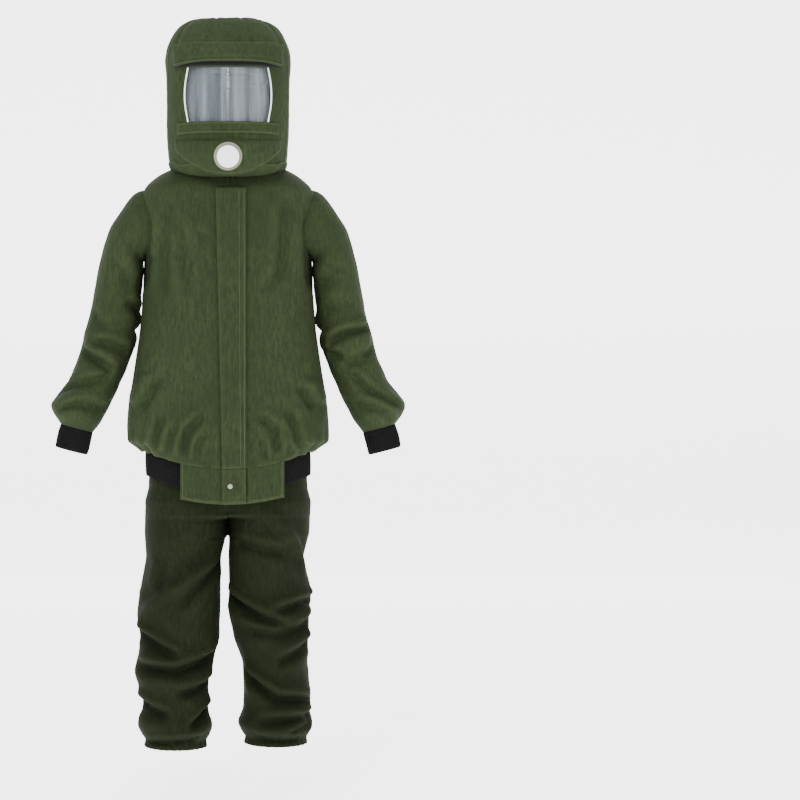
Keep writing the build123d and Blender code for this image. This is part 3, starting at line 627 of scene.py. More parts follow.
def stitches(name, paths, body=None, blend=None, length=0.0034, gap=0.0014, width=0.0009):
    """Rows of sewing stitches along paths that lie on the cloth."""
    verts, faces = [], []
    for path in paths:
        path = [Vector(p) for p in path]
        spans = [(b - a).length for a, b in zip(path, path[1:])]
        run = np.concatenate([[0], np.cumsum(spans)])
        points = np.array([tuple(p) for p in path])

        def at(distance):
            return Vector([float(np.interp(distance, run, points[:, k])) for k in range(3)])

        for reach in np.arange(0, run[-1] - length, length + gap):
            a, b = at(reach), at(reach + length)
            along = (b - a).normalized()
            side = along.cross(Vector((0.31, 0.23, 0.92))).normalized()
            up = along.cross(side)
            base = len(verts)
            for t, r in ((0.0, 0.35), (0.3, 1.0), (0.7, 1.0), (1.0, 0.35)):
                centre = a.lerp(b, t)
                for k in range(5):
                    angle = 2 * math.pi * k / 5
                    verts.append(centre + (side * math.cos(angle) + up * math.sin(angle)) * width * 0.5 * r)
            for ring in range(3):
                for k in range(5):
                    d = (k + 1) % 5
                    faces.append((base + ring * 5 + k, base + ring * 5 + d,
                                  base + ring * 5 + 5 + d, base + ring * 5 + 5 + k))
            faces.append(tuple(base + k for k in range(4, -1, -1)))
            faces.append(tuple(base + 15 + k for k in range(5)))
    obj = make_mesh(name, verts, faces)
    return dress(obj, "thread", body, thick=0, blend=blend)


def seam_lines(grid, rows=(), cols=(), inset=1.0, lift=(0, -0.0003, 0)):
    """Lines across or down a grid, at fractional rows or columns; negative ones count from the far edge."""
    n_rows, n_cols = grid.shape[:2]
    lines = []
    for r in rows:
        c = np.linspace(inset, n_cols - 1 - inset, 3 * n_cols)
        lines.append(sample(grid, np.full(len(c), r if r >= 0 else n_rows - 1 + r), c,
                            False) + lift)
    for c in cols:
        r = np.linspace(inset, n_rows - 1 - inset, 3 * n_rows)
        lines.append(sample(grid, r, np.full(len(r), c if c >= 0 else n_cols - 1 + c),
                            False) + lift)
    return lines


def declare(cut, closed=False, skip=None):
    """Measure the cell areas of the grid that a piece was cut as; nothing is kept or returned."""
    ring = np.concatenate([cut, cut[:, :1]], 1) if closed else cut
    first, second = ring[1:, 1:] - ring[:-1, :-1], ring[1:, :-1] - ring[:-1, 1:]
    cells = np.linalg.norm(np.cross(first, second), axis=2) / 2
    if skip:
        cells = np.array([[0 if skip(r, c) else cell for c, cell in enumerate(row)] for r,
                          row in enumerate(cells)])


# ---------------------------------------------------------------- jacket body

BODY_COLS, BODY_ROWS = 150, 74


def jacket_grid():
    """Rings round the body from the rib up to the neck, open at the zip."""
    tree = tree_of("jacket_back", "jacket_side_left", "jacket_side_right",
                   "jacket_front_left", "jacket_front_right")
    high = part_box("jacket_back")[1]
    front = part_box("jacket_front_left")
    zip_x = (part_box("jacket_front_left")[0].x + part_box("jacket_front_right")[1].x) / 2
    centre_y = (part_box("jacket_front_left")[0].y + high.y) / 2 + 0.012
    shoulder_z = -0.05
    heights = list(np.linspace(front[0].z + 0.0006, shoulder_z, BODY_ROWS - 14))
    heights += [shoulder_z + (high.z - 0.0015 - shoulder_z) * math.sin(math.radians(90 * k / 14))
                for k in range(1, 15)]
    start = math.radians(2.6)
    angles = np.linspace(start, 2 * math.pi - start, BODY_COLS)
    rows = [[probe(tree, (zip_x, centre_y, z), (math.sin(a), -math.cos(a), 0)) for a in angles]
            for z in heights]
    for c in range(BODY_COLS):
        column = fill_gaps([row[c] for row in rows])
        for r, p in enumerate(column):
            rows[r][c] = p
    return as_grid(rows), np.array(heights)


JACKET_FRONT_FOLDS = (      # depth and width of a fold, then its places: x, height
    (0.0050, 0.016, ((-0.138, -0.050), (-0.152, -0.200), (-0.150, -0.310))),
    (0.0035, 0.014, ((-0.128, -0.090), (-0.098, -0.210), (-0.096, -0.300))),
    (0.0050, 0.016, ((0.140, -0.050), (0.130, -0.180), (0.122, -0.270))),
    (0.0030, 0.013, ((0.126, -0.235), (0.082, -0.290))),
    (0.0050, 0.014, ((0.185, -0.080), (0.192, -0.200), (0.200, -0.290))),
    (0.0050, 0.014, ((-0.185, -0.080), (-0.192, -0.200), (-0.200, -0.290))),
    (0.0042, 0.010, ((-0.104, -0.672), (-0.096, -0.610), (-0.052, -0.566))),
    (0.0036, 0.008, ((-0.140, -0.674), (-0.134, -0.625), (-0.112, -0.585))),
    (0.0042, 0.009, ((-0.176, -0.674), (-0.166, -0.620), (-0.150, -0.560))),
    (0.0028, 0.007, ((-0.074, -0.674), (-0.070, -0.640), (-0.050, -0.610))),
    (0.0040, 0.010, ((0.062, -0.566), (0.106, -0.600), (0.118, -0.668))),
    (0.0040, 0.009, ((0.128, -0.545), (0.154, -0.595), (0.172, -0.670))),
    (0.0030, 0.007, ((0.076, -0.625), (0.088, -0.672))),
    (0.0030, 0.007, ((0.140, -0.630), (0.146, -0.674))),
    (0.0060, 0.012, ((0.165, -0.500), (0.205, -0.560))),
    (0.0060, 0.012, ((-0.160, -0.480), (-0.205, -0.560))),
)
JACKET_BACK_FOLDS = (
    (0.0060, 0.016, ((-0.150, -0.120), (-0.105, -0.260), (-0.100, -0.380))),
    (0.0060, 0.016, ((0.150, -0.120), (0.105, -0.260), (0.100, -0.380))),
    (0.0050, 0.009, ((-0.070, -0.555), (-0.090, -0.605), (-0.108, -0.672))),
    (0.0050, 0.010, ((0.052, -0.575), (0.082, -0.610), (0.112, -0.670))),
    (0.0036, 0.008, ((-0.012, -0.615), (-0.026, -0.672))),
    (0.0036, 0.008, ((0.024, -0.600), (0.034, -0.672))),
    (0.0036, 0.007, ((-0.060, -0.625), (-0.064, -0.674))),
    (0.0040, 0.008, ((-0.140, -0.600), (-0.152, -0.672))),
    (0.0036, 0.008, ((0.144, -0.615), (0.158, -0.672))),
    (0.0070, 0.014, ((-0.150, -0.420), (-0.190, -0.560))),
    (0.0070, 0.014, ((0.150, -0.420), (0.190, -0.560))),
)


def hem_sag(points):
    """The hem hangs a little lower in the middle than at the sides."""
    points = np.array(points)
    low = np.clip((-0.615 - points[..., 2]) / 0.075, 0, 1)
    low = low * low * (3 - 2 * low)
    bow = 0.030 * np.clip((points[..., 0] / 0.17) ** 2, 0, 1.3) - 0.008
    points[..., 2] += low * bow
    return points


def make_jacket():
    grid, heights = jacket_grid()
    rows, cols = grid.shape[:2]
    grid = smooth_grid(grid, 3, False)
    z = grid[..., 2]
    low_z, high_z = z.min(), z.max()
    edge = np.minimum(np.arange(cols), cols - 1 - np.arange(cols))[None, :].repeat(rows, 0)
    t = np.clip((heights - low_z) / (high_z - low_z), 0, 1)[:, None]
    bloused = np.clip(1 - t / 0.30, 0, 1)
    side = np.clip((np.abs(grid[..., 0]) - 0.11) / 0.08, 0, 1)
    out = normals_of(grid, False, np.array([0.0, 0.02, -0.3]))
    seedling = ripple(grid * np.array([1, 1, 0.45]), 16, 3.7) * 0.6 + ripple(grid, 34, 9.1) * 0.4
    facing = np.where(grid[..., 1] < 0.02, 1.0, 0.0)
    placed = folds(grid[..., 0], grid[..., 2], JACKET_FRONT_FOLDS, strength=2.7) * facing
    placed += folds(grid[..., 0], grid[..., 2], JACKET_BACK_FOLDS, strength=1.9) * (1 - facing)
    around = np.arange(cols)[None, :] * 2 * math.pi / cols
    pucker = np.cos(23 * around + 3 * np.sin(6 * around)) * np.clip(1 - t / 0.16, 0, 1) * np.maximum(side, 0.35)
    start = grid + out * (placed + seedling * (0.001 + 0.002 * bloused) + 0.0055 * pucker)[..., None]
    rest = grid.copy()
    rest[..., 0] *= 1.012
    rest[..., 1] = 0.02 + (rest[..., 1] - 0.02) * 1.012
    step = np.diff(heights, prepend=heights[0]) * (1.01 + 0.06 * bloused[:, 0])
    rest[..., 2] = (low_z + np.cumsum(step))[:, None]
    pins = 0.10 + 0.9 * np.clip((t - 0.93) / 0.05, 0, 1) + 0.10 * np.clip((t - 0.72) / 0.2, 0, 1)
    pins = pins * np.ones((1, cols))
    pins = np.maximum(pins, np.clip(1 - edge / 5.0, 0, 1))
    pins = np.maximum(pins, np.clip(1 - np.arange(rows)[:, None] / 2.0, 0, 1))
    faces = grid_faces(rows, cols, False)
    shaped = drape(start, faces, rest, np.clip(pins, 0, 1).ravel(), frames=20, goal=1.2,
                   gravity=0.3).reshape(rows, cols, 3)
    fine = hem_sag(soften(shaped, False))
    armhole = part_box("shoulder_gusset_left")
    hole_y, hole_z = (armhole[0].y + armhole[1].y) / 2, (armhole[0].z + armhole[1].z) / 2

    def inside_armhole(r, c):
        p = fine[r, c]
        return abs(p[0]) > 0.15 and ((p[1] - hole_y) / 0.05) ** 2 + ((p[2] - hole_z - 0.012) / 0.042) ** 2 < 1

    obj = make_mesh("jacket_body_cloth", fine, grid_faces(*fine.shape[:2], False, inside_armhole))
    dress(obj, "cloth_green", "jacket",
          nodes=("jacket_back", "jacket_side_left", "jacket_side_right",
                                               "jacket_front_left", "jacket_front_right"))
    declare(rest)
    top = [row for row in fine if -0.09 < row[0, 2] < -0.014]
    guard = np.array([[row[-1] * (1 - t) + row[0] * t + (0, 0.0006,
                                                         0) for t in np.linspace(-0.2, 1.2, 7)]
                      for row in top])
    piece = make_mesh("zip_guard_cloth", guard, grid_faces(*guard.shape[:2], False))
    orient(piece, Vector((0, 0.05, -0.05)))
    dress(piece, "cloth_green", "jacket")
    declare(guard)
    return fine


# ---------------------------------------------------------------- sleeves

ARM_ROWS, ARM_COLS = 66, 48


def arm_frames(name, side):
    """Middle points of a sleeve's rings and the angles of their planes: out of the armhole and down to the cuff."""
    shoulder = Vector(joint[f"shoulder_{name}"]["pos_m"])
    elbow = Vector(joint[f"elbow_{name}"]["pos_m"])
    wrist = Vector(mount[f"wrist_{name}"]["pos_m"])
    down = Vector(mount[f"wrist_{name}"]["axis"])
    cuff_top = wrist - down * 0.0275
    knots = [(shoulder + Vector((-side * 0.048, 0, -0.017)), 90),
             (shoulder + Vector((side * 0.010, 0, -0.025)), 80),
             (shoulder + Vector((side * 0.043, 0, -0.065)), 45),
             (shoulder + Vector((side * 0.05, -0.001, -0.1)), 25),
             (shoulder + Vector((side * 0.059, -0.002, -0.15)), 15.5),
             (elbow + Vector((-side * 0.011, 0.02, 0.047)), 15.5),
             (elbow + Vector((0, 0.014, 0)), 16),
             (elbow + Vector((side * 0.013, 0.01, -0.048)), 17),
             (elbow + Vector((side * 0.042, 0.002, -0.118)), 19),
             (elbow + Vector((side * 0.079, -0.006, -0.174)), 17),
             (cuff_top + Vector((side * 0.001, 0, 0.008)), 15), (cuff_top, 15)]
    grid = np.array([[(*k, math.radians(angle))] for k, angle in knots])
    line = grid[:, 0, :3]
    run = np.concatenate([[0], np.cumsum(np.linalg.norm(np.diff(line, axis=0), axis=1))])
    steps = np.interp(np.linspace(0, run[-1], ARM_ROWS), run, np.arange(len(knots)))
    both = sample4(grid, steps)
    return both[:, :3], both[:, 3]


def sample4(grid, steps):
    """Smooth curve through a list of knots, at fractional places."""
    out = []
    last = len(grid) - 1
    for t in steps:
        k = min(int(t), last - 1)
        f = t - k
        p = [grid[min(max(k + d, 0), last), 0] for d in (-1, 0, 1, 2)]
        out.append(0.5 * (2 * p[1] + (p[2] - p[0]) * f + (2 * p[0] - 5 * p[1] + 4 * p[2] - p[3]) * f * f
                          + (3 * p[1] - p[0] - 3 * p[2] + p[3]) * f ** 3))
    return np.array(out)


def sleeve_grid(name, side):
    """Rings across the sleeve's middle line."""
    tree = tree_of(*[f"{n}_{name}" for n in ("shoulder_gusset", "sleeve_upper", "sleeve_elbow",
                                             "sleeve_lower")])
    line, angles = arm_frames(name, side)
    rows = []
    for p, angle in zip(line, angles):
        front = Vector((0, -1, 0))
        out = Vector((side * math.cos(angle), 0, math.sin(angle)))
        ring = []
        for k in range(ARM_COLS):
            a = 2 * math.pi * k / ARM_COLS
            found = probe(tree, p, front * math.cos(a) + out * math.sin(a))
            if found is not None and ((found - Vector(p)).length > 0.115 or abs(p[0]) < 0.1825):
                found = None
            ring.append(found)
        rows.append(ring)
    for c in range(ARM_COLS):
        column = [row[c] for row in rows]
        first = next(k for k, p in enumerate(column) if p is not None)
        for k in range(first):
            column[k] = column[first] + Vector(line[k] - line[first])
        column = fill_gaps(column)
        for r, p in enumerate(column):
            rows[r][c] = p
    return as_grid(rows), line


ARM_RADIUS = 0.066
SLEEVE_FOLDS = {      # depth and width of a fold, then its places: turn from the front in radians, height
    "right": ((0.010, 0.010, ((1.25, -0.412), (0.2, -0.442), (-0.75, -0.476))),
              (0.007, 0.011, ((0.7, -0.404), (0.1, -0.402), (-1.2, -0.428))),
              (0.004, 0.013, ((1.0, -0.325), (0.1, -0.372))),
              (0.007, 0.012, ((1.3, -0.512), (0.4, -0.497), (-0.7, -0.478))),
              (0.006, 0.010, ((0.9, -0.562), (0.1, -0.545), (-1.1, -0.560))),
              (0.004, 0.015, ((0.3, -0.185), (-0.5, -0.275))),
              (0.006, 0.012, ((-0.3, -0.305), (-1.6, -0.335))),
              (0.008, 0.012, ((-1.0, -0.350), (-2.4, -0.385), (-3.4, -0.372))),
              (0.008, 0.012, ((-1.9, -0.430), (-2.9, -0.418), (-4.1, -0.440))),
              (0.006, 0.012, ((-2.0, -0.500), (-3.1, -0.515), (-4.0, -0.490))),
              (0.006, 0.016, ((-2.2, -0.220), (-3.3, -0.290)))),
    "left": ((0.011, 0.009, ((-1.0, -0.408), (0.0, -0.378), (1.35, -0.360))),
             (0.007, 0.011, ((-0.5, -0.452), (0.2, -0.440), (1.2, -0.410))),
             (0.007, 0.012, ((-1.2, -0.430), (-0.3, -0.432))),
             (0.007, 0.011, ((-0.4, -0.465), (0.1, -0.515), (0.9, -0.560))),
             (0.005, 0.012, ((-0.9, -0.540), (-0.1, -0.555), (0.6, -0.590))),
             (0.004, 0.014, ((-0.9, -0.325), (0.5, -0.305))),
             (0.004, 0.015, ((0.2, -0.215), (-0.8, -0.270))),
             (0.008, 0.012, ((-1.0, -0.350), (-2.4, -0.385), (-3.4, -0.372))),
             (0.008, 0.012, ((-1.9, -0.430), (-2.9, -0.418), (-4.1, -0.440))),
             (0.006, 0.012, ((-2.0, -0.500), (-3.1, -0.515), (-4.0, -0.490))),
             (0.006, 0.016, ((-2.2, -0.220), (-3.3, -0.290)))),
}


def make_sleeve(name, side):
    grid, line = sleeve_grid(name, side)
    rows = grid.shape[0]
    grid = smooth_grid(grid, 3, True)
    t = np.linspace(0, 1, rows)[:, None]
    centre = line[:, None, :]
    elbow_near = np.exp(-((t - 0.56) / 0.13) ** 2)
    wrist_near = np.clip((t - 0.66) / 0.25, 0, 1) * np.clip((1.0 - t) / 0.04, 0, 1)
    seed = 11.3 if side > 0 else 5.9
    seedling = ripple(grid * np.array([0.7, 0.7, 1.6]), 22,
                      seed) * 0.6 + ripple(grid, 42, seed + 7) * 0.4
    out = grid - centre
    out /= np.linalg.norm(out, axis=2, keepdims=True)
    turn = 2 * math.pi * np.arange(ARM_COLS)[None, :] / ARM_COLS + np.zeros((rows, 1))
    placed = folds(turn * ARM_RADIUS, grid[..., 2],
                   [(d, w, [(a * ARM_RADIUS, z) for a, z in marks]) for d, w,
                    marks in SLEEVE_FOLDS[name]],
                   2 * math.pi * ARM_RADIUS)
    start = grid + out * (placed + seedling * (0.001 + 0.002 * (elbow_near + wrist_near)))[..., None]
    long = 1.02 + 0.05 * elbow_near + 0.06 * wrist_near
    spans = np.linalg.norm(np.diff(line, axis=0, prepend=line[:1]), axis=1)[:, None] * long
    straight = np.cumsum(spans)
    twist = side * math.radians(8) * t[:, 0]
    radius = np.linalg.norm(start - centre, axis=2) * 1.02
    angle = 2 * math.pi * np.arange(ARM_COLS)[None, :] / ARM_COLS + twist[:, None]
    rest = np.stack([radius * np.cos(angle), radius * np.sin(angle),
                     straight[:, None] * np.ones_like(radius)], 2)
    pins = 0.10 * np.ones((rows, ARM_COLS))
    pins = np.maximum(pins, np.clip(1 - (np.arange(rows)[:, None] - 4) / 4.0, 0, 1))
    pins = np.maximum(pins, np.clip(1 - (rows - 1 - np.arange(rows))[:, None] / 2.0, 0, 1))
    shaped = drape(start, grid_faces(rows, ARM_COLS, True), rest, pins.ravel(), frames=20,
                   gravity=0.25,
                   goal=1.0, bending=0.35).reshape(rows, ARM_COLS, 3)
    fine = soften(shaped, True)
    split = int(fine.shape[0] * 0.45)
    upper, lower = fine[:split + 1], fine[split:]
    shoulder = Vector(joint[f"shoulder_{name}"]["pos_m"])
    elbow = Vector(joint[f"elbow_{name}"]["pos_m"])
    top = make_mesh(f"sleeve_upper_cloth_{name}", upper, grid_faces(*upper.shape[:2], True))
    orient(top, Vector(line[len(line) // 4]))
    dress(top, "cloth_green", nodes=(f"shoulder_gusset_{name}", f"sleeve_upper_{name}"), thick=0,
          blend=("jacket", f"upper_arm_{name}", shoulder,
                 shoulder + Vector((side * 0.075, 0, -0.095))))
    down = (Vector(mount[f"wrist_{name}"]["pos_m"]) - elbow).normalized()
    bottom = make_mesh(f"sleeve_lower_cloth_{name}", lower, grid_faces(*lower.shape[:2], True))
    orient(bottom, Vector(line[3 * len(line) // 4]))
    dress(bottom, "cloth_green", nodes=(f"sleeve_elbow_{name}", f"sleeve_lower_{name}"), thick=0,
          blend=(f"upper_arm_{name}", f"forearm_{name}", elbow - down * 0.06, elbow + down * 0.06))
    match_normals(top, bottom, fine[split])
    middle = split // 2
    declare(rest[:middle + 1], True)
    declare(rest[middle:], True)
    return fine


def make_cuff(name, side):
    """Ribbed knitted cuff: a corrugated tube, a little flared, with a folded lower edge."""
    wrist, down = Vector(mount[f"wrist_{name}"]["pos_m"]), Vector(mount[f"wrist_{name}"]["axis"])
    length = mount[f"wrist_{name}"]["dims"]["length_mm"] / 1000
    radius = mount[f"wrist_{name}"]["dims"]["r_mm"] / 1000 + 0.0012
    front = Vector((0, -1, 0))
    across = front.cross(down)
    ribs, steps, levels = 58, 6, 15
    rows = []
    for level in range(levels):
        t = level / (levels - 1)
        along = wrist + down * length * (t - 0.5)
        swell = 0.0012 * math.sin(math.pi * t) - 0.0016 * max(0.0, (t - 0.9) / 0.1) ** 2
        row = []
        for k in range(ribs * steps):
            a = 2 * math.pi * k / (ribs * steps)
            r = radius + swell + 0.0008 * math.cos(ribs * a)
            r += 0.0012 * math.sin(3 * a + 5 * t + side) * t
            row.append(along + (front * math.cos(a) + across * math.sin(a)) * r)
        rows.append(row)
    grid = as_grid(rows)
    obj = make_mesh(f"cuff_rib_{name}", grid, grid_faces(*grid.shape[:2], True))
    dress(obj, "rib_black", f"forearm_{name}", nodes=(f"cuff_{name}",), thick=0.0014)
    declare(grid, True)


# ---------------------------------------------------------------- waist rib, hem tabs and front flap

def make_waist_rib():
    """Ribbed knitted waistband, from one hem tab round the back to the other."""
    tree = tree_of("waist_rib")
    low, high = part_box("waist_rib")
    ribs, levels = 250, 15
    angles = np.linspace(0, 2 * math.pi, ribs * 5, endpoint=False)
    centre = Vector((0.0, 0.0, (low.z + high.z) / 2))
    hits = [probe(tree, centre, (math.sin(a), -math.cos(a), 0)) for a in angles]
    first = next(k for k in range(len(hits)) if hits[k] is not None)
    last = max(k for k in range(len(hits)) if hits[k] is not None)
    ring = hits[first:last + 1]
    rows = []
    for level in range(levels):
        t = level / (levels - 1)
        row = []
        for k, p in enumerate(ring):
            out = Vector((p.x, p.y, 0)).normalized()
            depth = -0.0022 + 0.0008 * math.cos(2 * math.pi * (k + first) / 5)
            depth += 0.0015 * math.sin(math.pi * t) + 0.001 * math.sin(k * 0.021 + 2 * t)
            row.append(Vector((p.x, p.y, low.z + (high.z + 0.008 - low.z) * t)) + out * depth)
        rows.append(row)
    grid = as_grid(rows)
    grid = hem_sag(grid)
    obj = make_mesh("waist_rib_knit", grid, grid_faces(*grid.shape[:2], False))
    dress(obj, "rib_black", "jacket", nodes=("waist_rib",), thick=0.0016)
    declare(grid)


def front_strip(name, node, body, material="cloth_green", cell=0.006, wave=0.001, seed=1.0,
                inset=0.0004, tuck=0, seam_rows=(), seam_cols=()):
    """Cloth strip read from a CAD plate on the suit's front, with slight waves, and its top edge turned back when
    tuck is given.
    """
    tree = tree_of(node)
    low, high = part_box(node)
    rows_n = max(4, int((high.z - low.z) / cell))
    cols_n = max(4, int((high.x - low.x) / cell))
    rows = []
    for r in range(rows_n + 1):
        z = low.z + inset + (high.z - low.z - 2 * inset) * r / rows_n
        edges = []
        for sign in (1, -1):
            x = low.x if sign > 0 else high.x
            for _ in range(200):
                if tree.ray_cast(Vector((x + sign * 1e-5, low.y - 0.1, z)), Vector((0, 1, 0)))[0]:
                    break
                x += sign * 0.0005
            edges.append(x)
        row = []
        for c in range(cols_n + 1):
            x = edges[0] + 1e-5 + (edges[1] - edges[0] - 2e-5) * c / cols_n
            hit = tree.ray_cast(Vector((x, low.y - 0.1, z)), Vector((0, 1, 0)))[0]
            row.append(hit if hit else Vector((x, low.y, z)))
        rows.append(row)
    grid = as_grid(rows)
    bend = ripple(grid * np.array([1.5, 0, 1]), 18,
                  seed) * wave + ripple(grid, 50, seed + 3) * wave * 0.4
    grid[..., 1] -= bend
    grid = hem_sag(grid)
    for _ in range(tuck):
        grid = np.concatenate([grid, grid[-1:] + (0, 0.0022, 0.005)])
    obj = make_mesh(name, grid, grid_faces(*grid.shape[:2], False))
    dress(obj, material, body, nodes=(node,), thick=0.002,
          offset=1.0 if obj.data.polygons[0].normal.y > 0 else -1.0)
    if material == "cloth_green":
        declare(grid)
    if seam_rows or seam_cols:
        stitches(f"{name}_stitches", seam_lines(grid, seam_rows, seam_cols), body)


# ---------------------------------------------------------------- trousers

SEAT_COLS, INNER_COLS, LEG_ROWS = 56, 26, 104
SEAM_ANGLE = math.radians(37)


def leg_line(name, side):
    """Middle of a leg at any height, from the CAD pieces that it passes through."""
    marks = []
    for node, end in (("shin", 0), ("knee", 0), ("knee", 1)):
        low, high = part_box(f"{node}_{name}")
        ring = [v.co for v in frame["nodes"][f"{node}_{name}"].data.vertices
                if abs(v.co.z - (low.z if end == 0 else high.z)) < 0.004]
        marks.append((low.z if end == 0 else high.z,
                      (min(v.x for v in ring) + max(v.x for v in ring)) / 2))
    marks.append((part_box("trousers_front")[1].z, side * 0.094))
    heights = [m[0] for m in marks]
    return lambda z: float(np.interp(z, heights, [m[1] for m in marks]))


def trouser_grid(name, side):
    """Rings round one leg; above the crotch they stop at the centre seams."""
    tree = tree_of("trousers_waistband", "trousers_front", "trousers_back", f"knee_{name}",
                   f"shin_{name}",
                   f"hem_casing_{name}")
    middle_y = sum(p.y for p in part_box(f"hem_casing_{name}")) / 2
    centre_x = leg_line(name, side)
    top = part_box("trousers_waistband")[1].z - 0.0015
    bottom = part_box(f"hem_casing_{name}")[0].z + 0.0008
    crotch = -0.856
    heights = np.linspace(top, bottom, LEG_ROWS)
    crotch_row = int(np.argmin(np.abs(heights - crotch)))
    outer = np.linspace(-SEAM_ANGLE, math.pi + SEAM_ANGLE, SEAT_COLS)
    inner = np.linspace(math.pi + SEAM_ANGLE, 2 * math.pi - SEAM_ANGLE, INNER_COLS + 2)[1:-1]
    rows = []
    for r, z in enumerate(heights):
        row = []
        for k, a in enumerate(np.concatenate([outer, inner])):
            origin = Vector((centre_x(z), middle_y, z))
            direction = Vector((side * math.sin(a), -math.cos(a), 0))
            if r <= crotch_row:
                if k >= SEAT_COLS:
                    t = (k - SEAT_COLS + 1) / (INNER_COLS + 1)
                    y = rows_edge(tree, z, 1) * (1 - t) + rows_edge(tree, z, -1) * t
                    row.append(Vector((0, y, z)))
                    continue
                if k in (0, SEAT_COLS - 1):
                    row.append(Vector((0, rows_edge(tree, z, -1 if k == 0 else 1), z)))
                    continue
            p = probe(tree, origin, direction)
            if p is not None and r <= crotch_row and p.x * side < 0.0005:
                p.x = side * 0.0005
            row.append(p)
        rows.append(row)
    for c in range(SEAT_COLS + INNER_COLS):
        column = fill_gaps([row[c] for row in rows])
        for r, p in enumerate(column):
            rows[r][c] = p
    return as_grid(rows), heights, crotch_row, centre_x, middle_y


def rows_edge(tree, z, sign):
    """Front (-1) or back (1) of the seat on its middle plane."""
    hit = tree.ray_cast(Vector((0.0004, sign * 0.4, z)), Vector((0, -sign, 0)))[0]
    if hit is None or hit.y * sign < 0.02:
        return sign * 0.02
    return hit.y


LEG_RADIUS = 0.095
LEG_FOLDS = {         # as for the sleeves
    "right": ((-0.0070, 0.015, ((-1.10, -0.889), (-0.20, -0.948), (0.60, -1.012), (1.20, -1.038))),
              (0.0080, 0.012, ((-1.50, -0.905), (-0.60, -0.960), (0.10, -1.030))),
              (0.0110, 0.011, ((1.55, -1.080), (0.80, -1.100), (-0.10, -1.146))),
              (0.0150, 0.013, ((-1.55, -1.124), (-0.80, -1.149), (0.00, -1.171), (1.45, -1.163))),
              (0.0110, 0.012, ((-1.45, -1.200), (-0.90, -1.213), (0.10, -1.226))),
              (0.0120, 0.013, ((1.60, -1.252), (0.90, -1.262), (0.10, -1.280))),
              (0.0120, 0.011, ((-1.45, -1.262), (-0.90, -1.277), (-0.35, -1.309))),
              (0.0070, 0.008, ((-0.90, -1.330), (0.10, -1.338), (1.20, -1.345))),
              (0.0050, 0.012, ((0.40, -0.900), (0.55, -0.985))),
              (0.0110, 0.013, ((1.70, -1.030), (2.60, -1.000), (3.60, -1.035))),
              (0.0110, 0.013, ((2.00, -1.095), (3.00, -1.125), (4.10, -1.085))),
              (0.0110, 0.013, ((1.90, -1.190), (2.90, -1.165), (4.20, -1.205))),
              (0.0100, 0.012, ((2.10, -1.255), (3.10, -1.280), (4.10, -1.250))),
              (0.0070, 0.018, ((2.40, -0.870), (3.40, -0.925)))),
    "left": ((0.0080, 0.012, ((-0.95, -0.868), (-0.30, -0.880), (0.45, -0.897))),
             (-0.0080, 0.014, ((-0.15, -0.760), (0.30, -0.835), (0.85, -0.898), (1.30, -0.950))),
             (0.0150, 0.012, ((-1.55, -0.985), (-0.80, -1.018), (-0.15, -1.048), (0.50, -1.066))),
             (0.0110, 0.011, ((1.55, -1.008), (0.80, -1.012), (-0.10, -1.036))),
             (0.0090, 0.012, ((-0.90, -1.072), (0.20, -1.083), (0.90, -1.070), (1.55, -1.045))),
             (0.0090, 0.012, ((0.00, -1.158), (0.60, -1.130), (1.50, -1.102))),
             (0.0140, 0.012, ((-1.30, -1.170), (-0.60, -1.200), (0.05, -1.236), (1.45, -1.246))),
             (0.0110, 0.011, ((1.55, -1.280), (0.60, -1.285), (-0.60, -1.292))),
             (0.0060, 0.007, ((0.20, -1.318), (0.60, -1.308), (1.30, -1.296))),
             (0.0060, 0.009, ((-0.80, -1.328), (0.20, -1.336), (0.90, -1.330))),
             (0.0110, 0.013, ((1.70, -1.050), (2.60, -1.015), (3.60, -1.045))),
             (0.0110, 0.013, ((2.00, -1.105), (3.00, -1.135), (4.10, -1.100))),
             (0.0110, 0.013, ((1.90, -1.205), (2.90, -1.180), (4.20, -1.215))),
             (0.0100, 0.012, ((2.10, -1.265), (3.10, -1.290), (4.10, -1.260))),
             (0.0070, 0.018, ((2.40, -0.880), (3.40, -0.935)))),
}


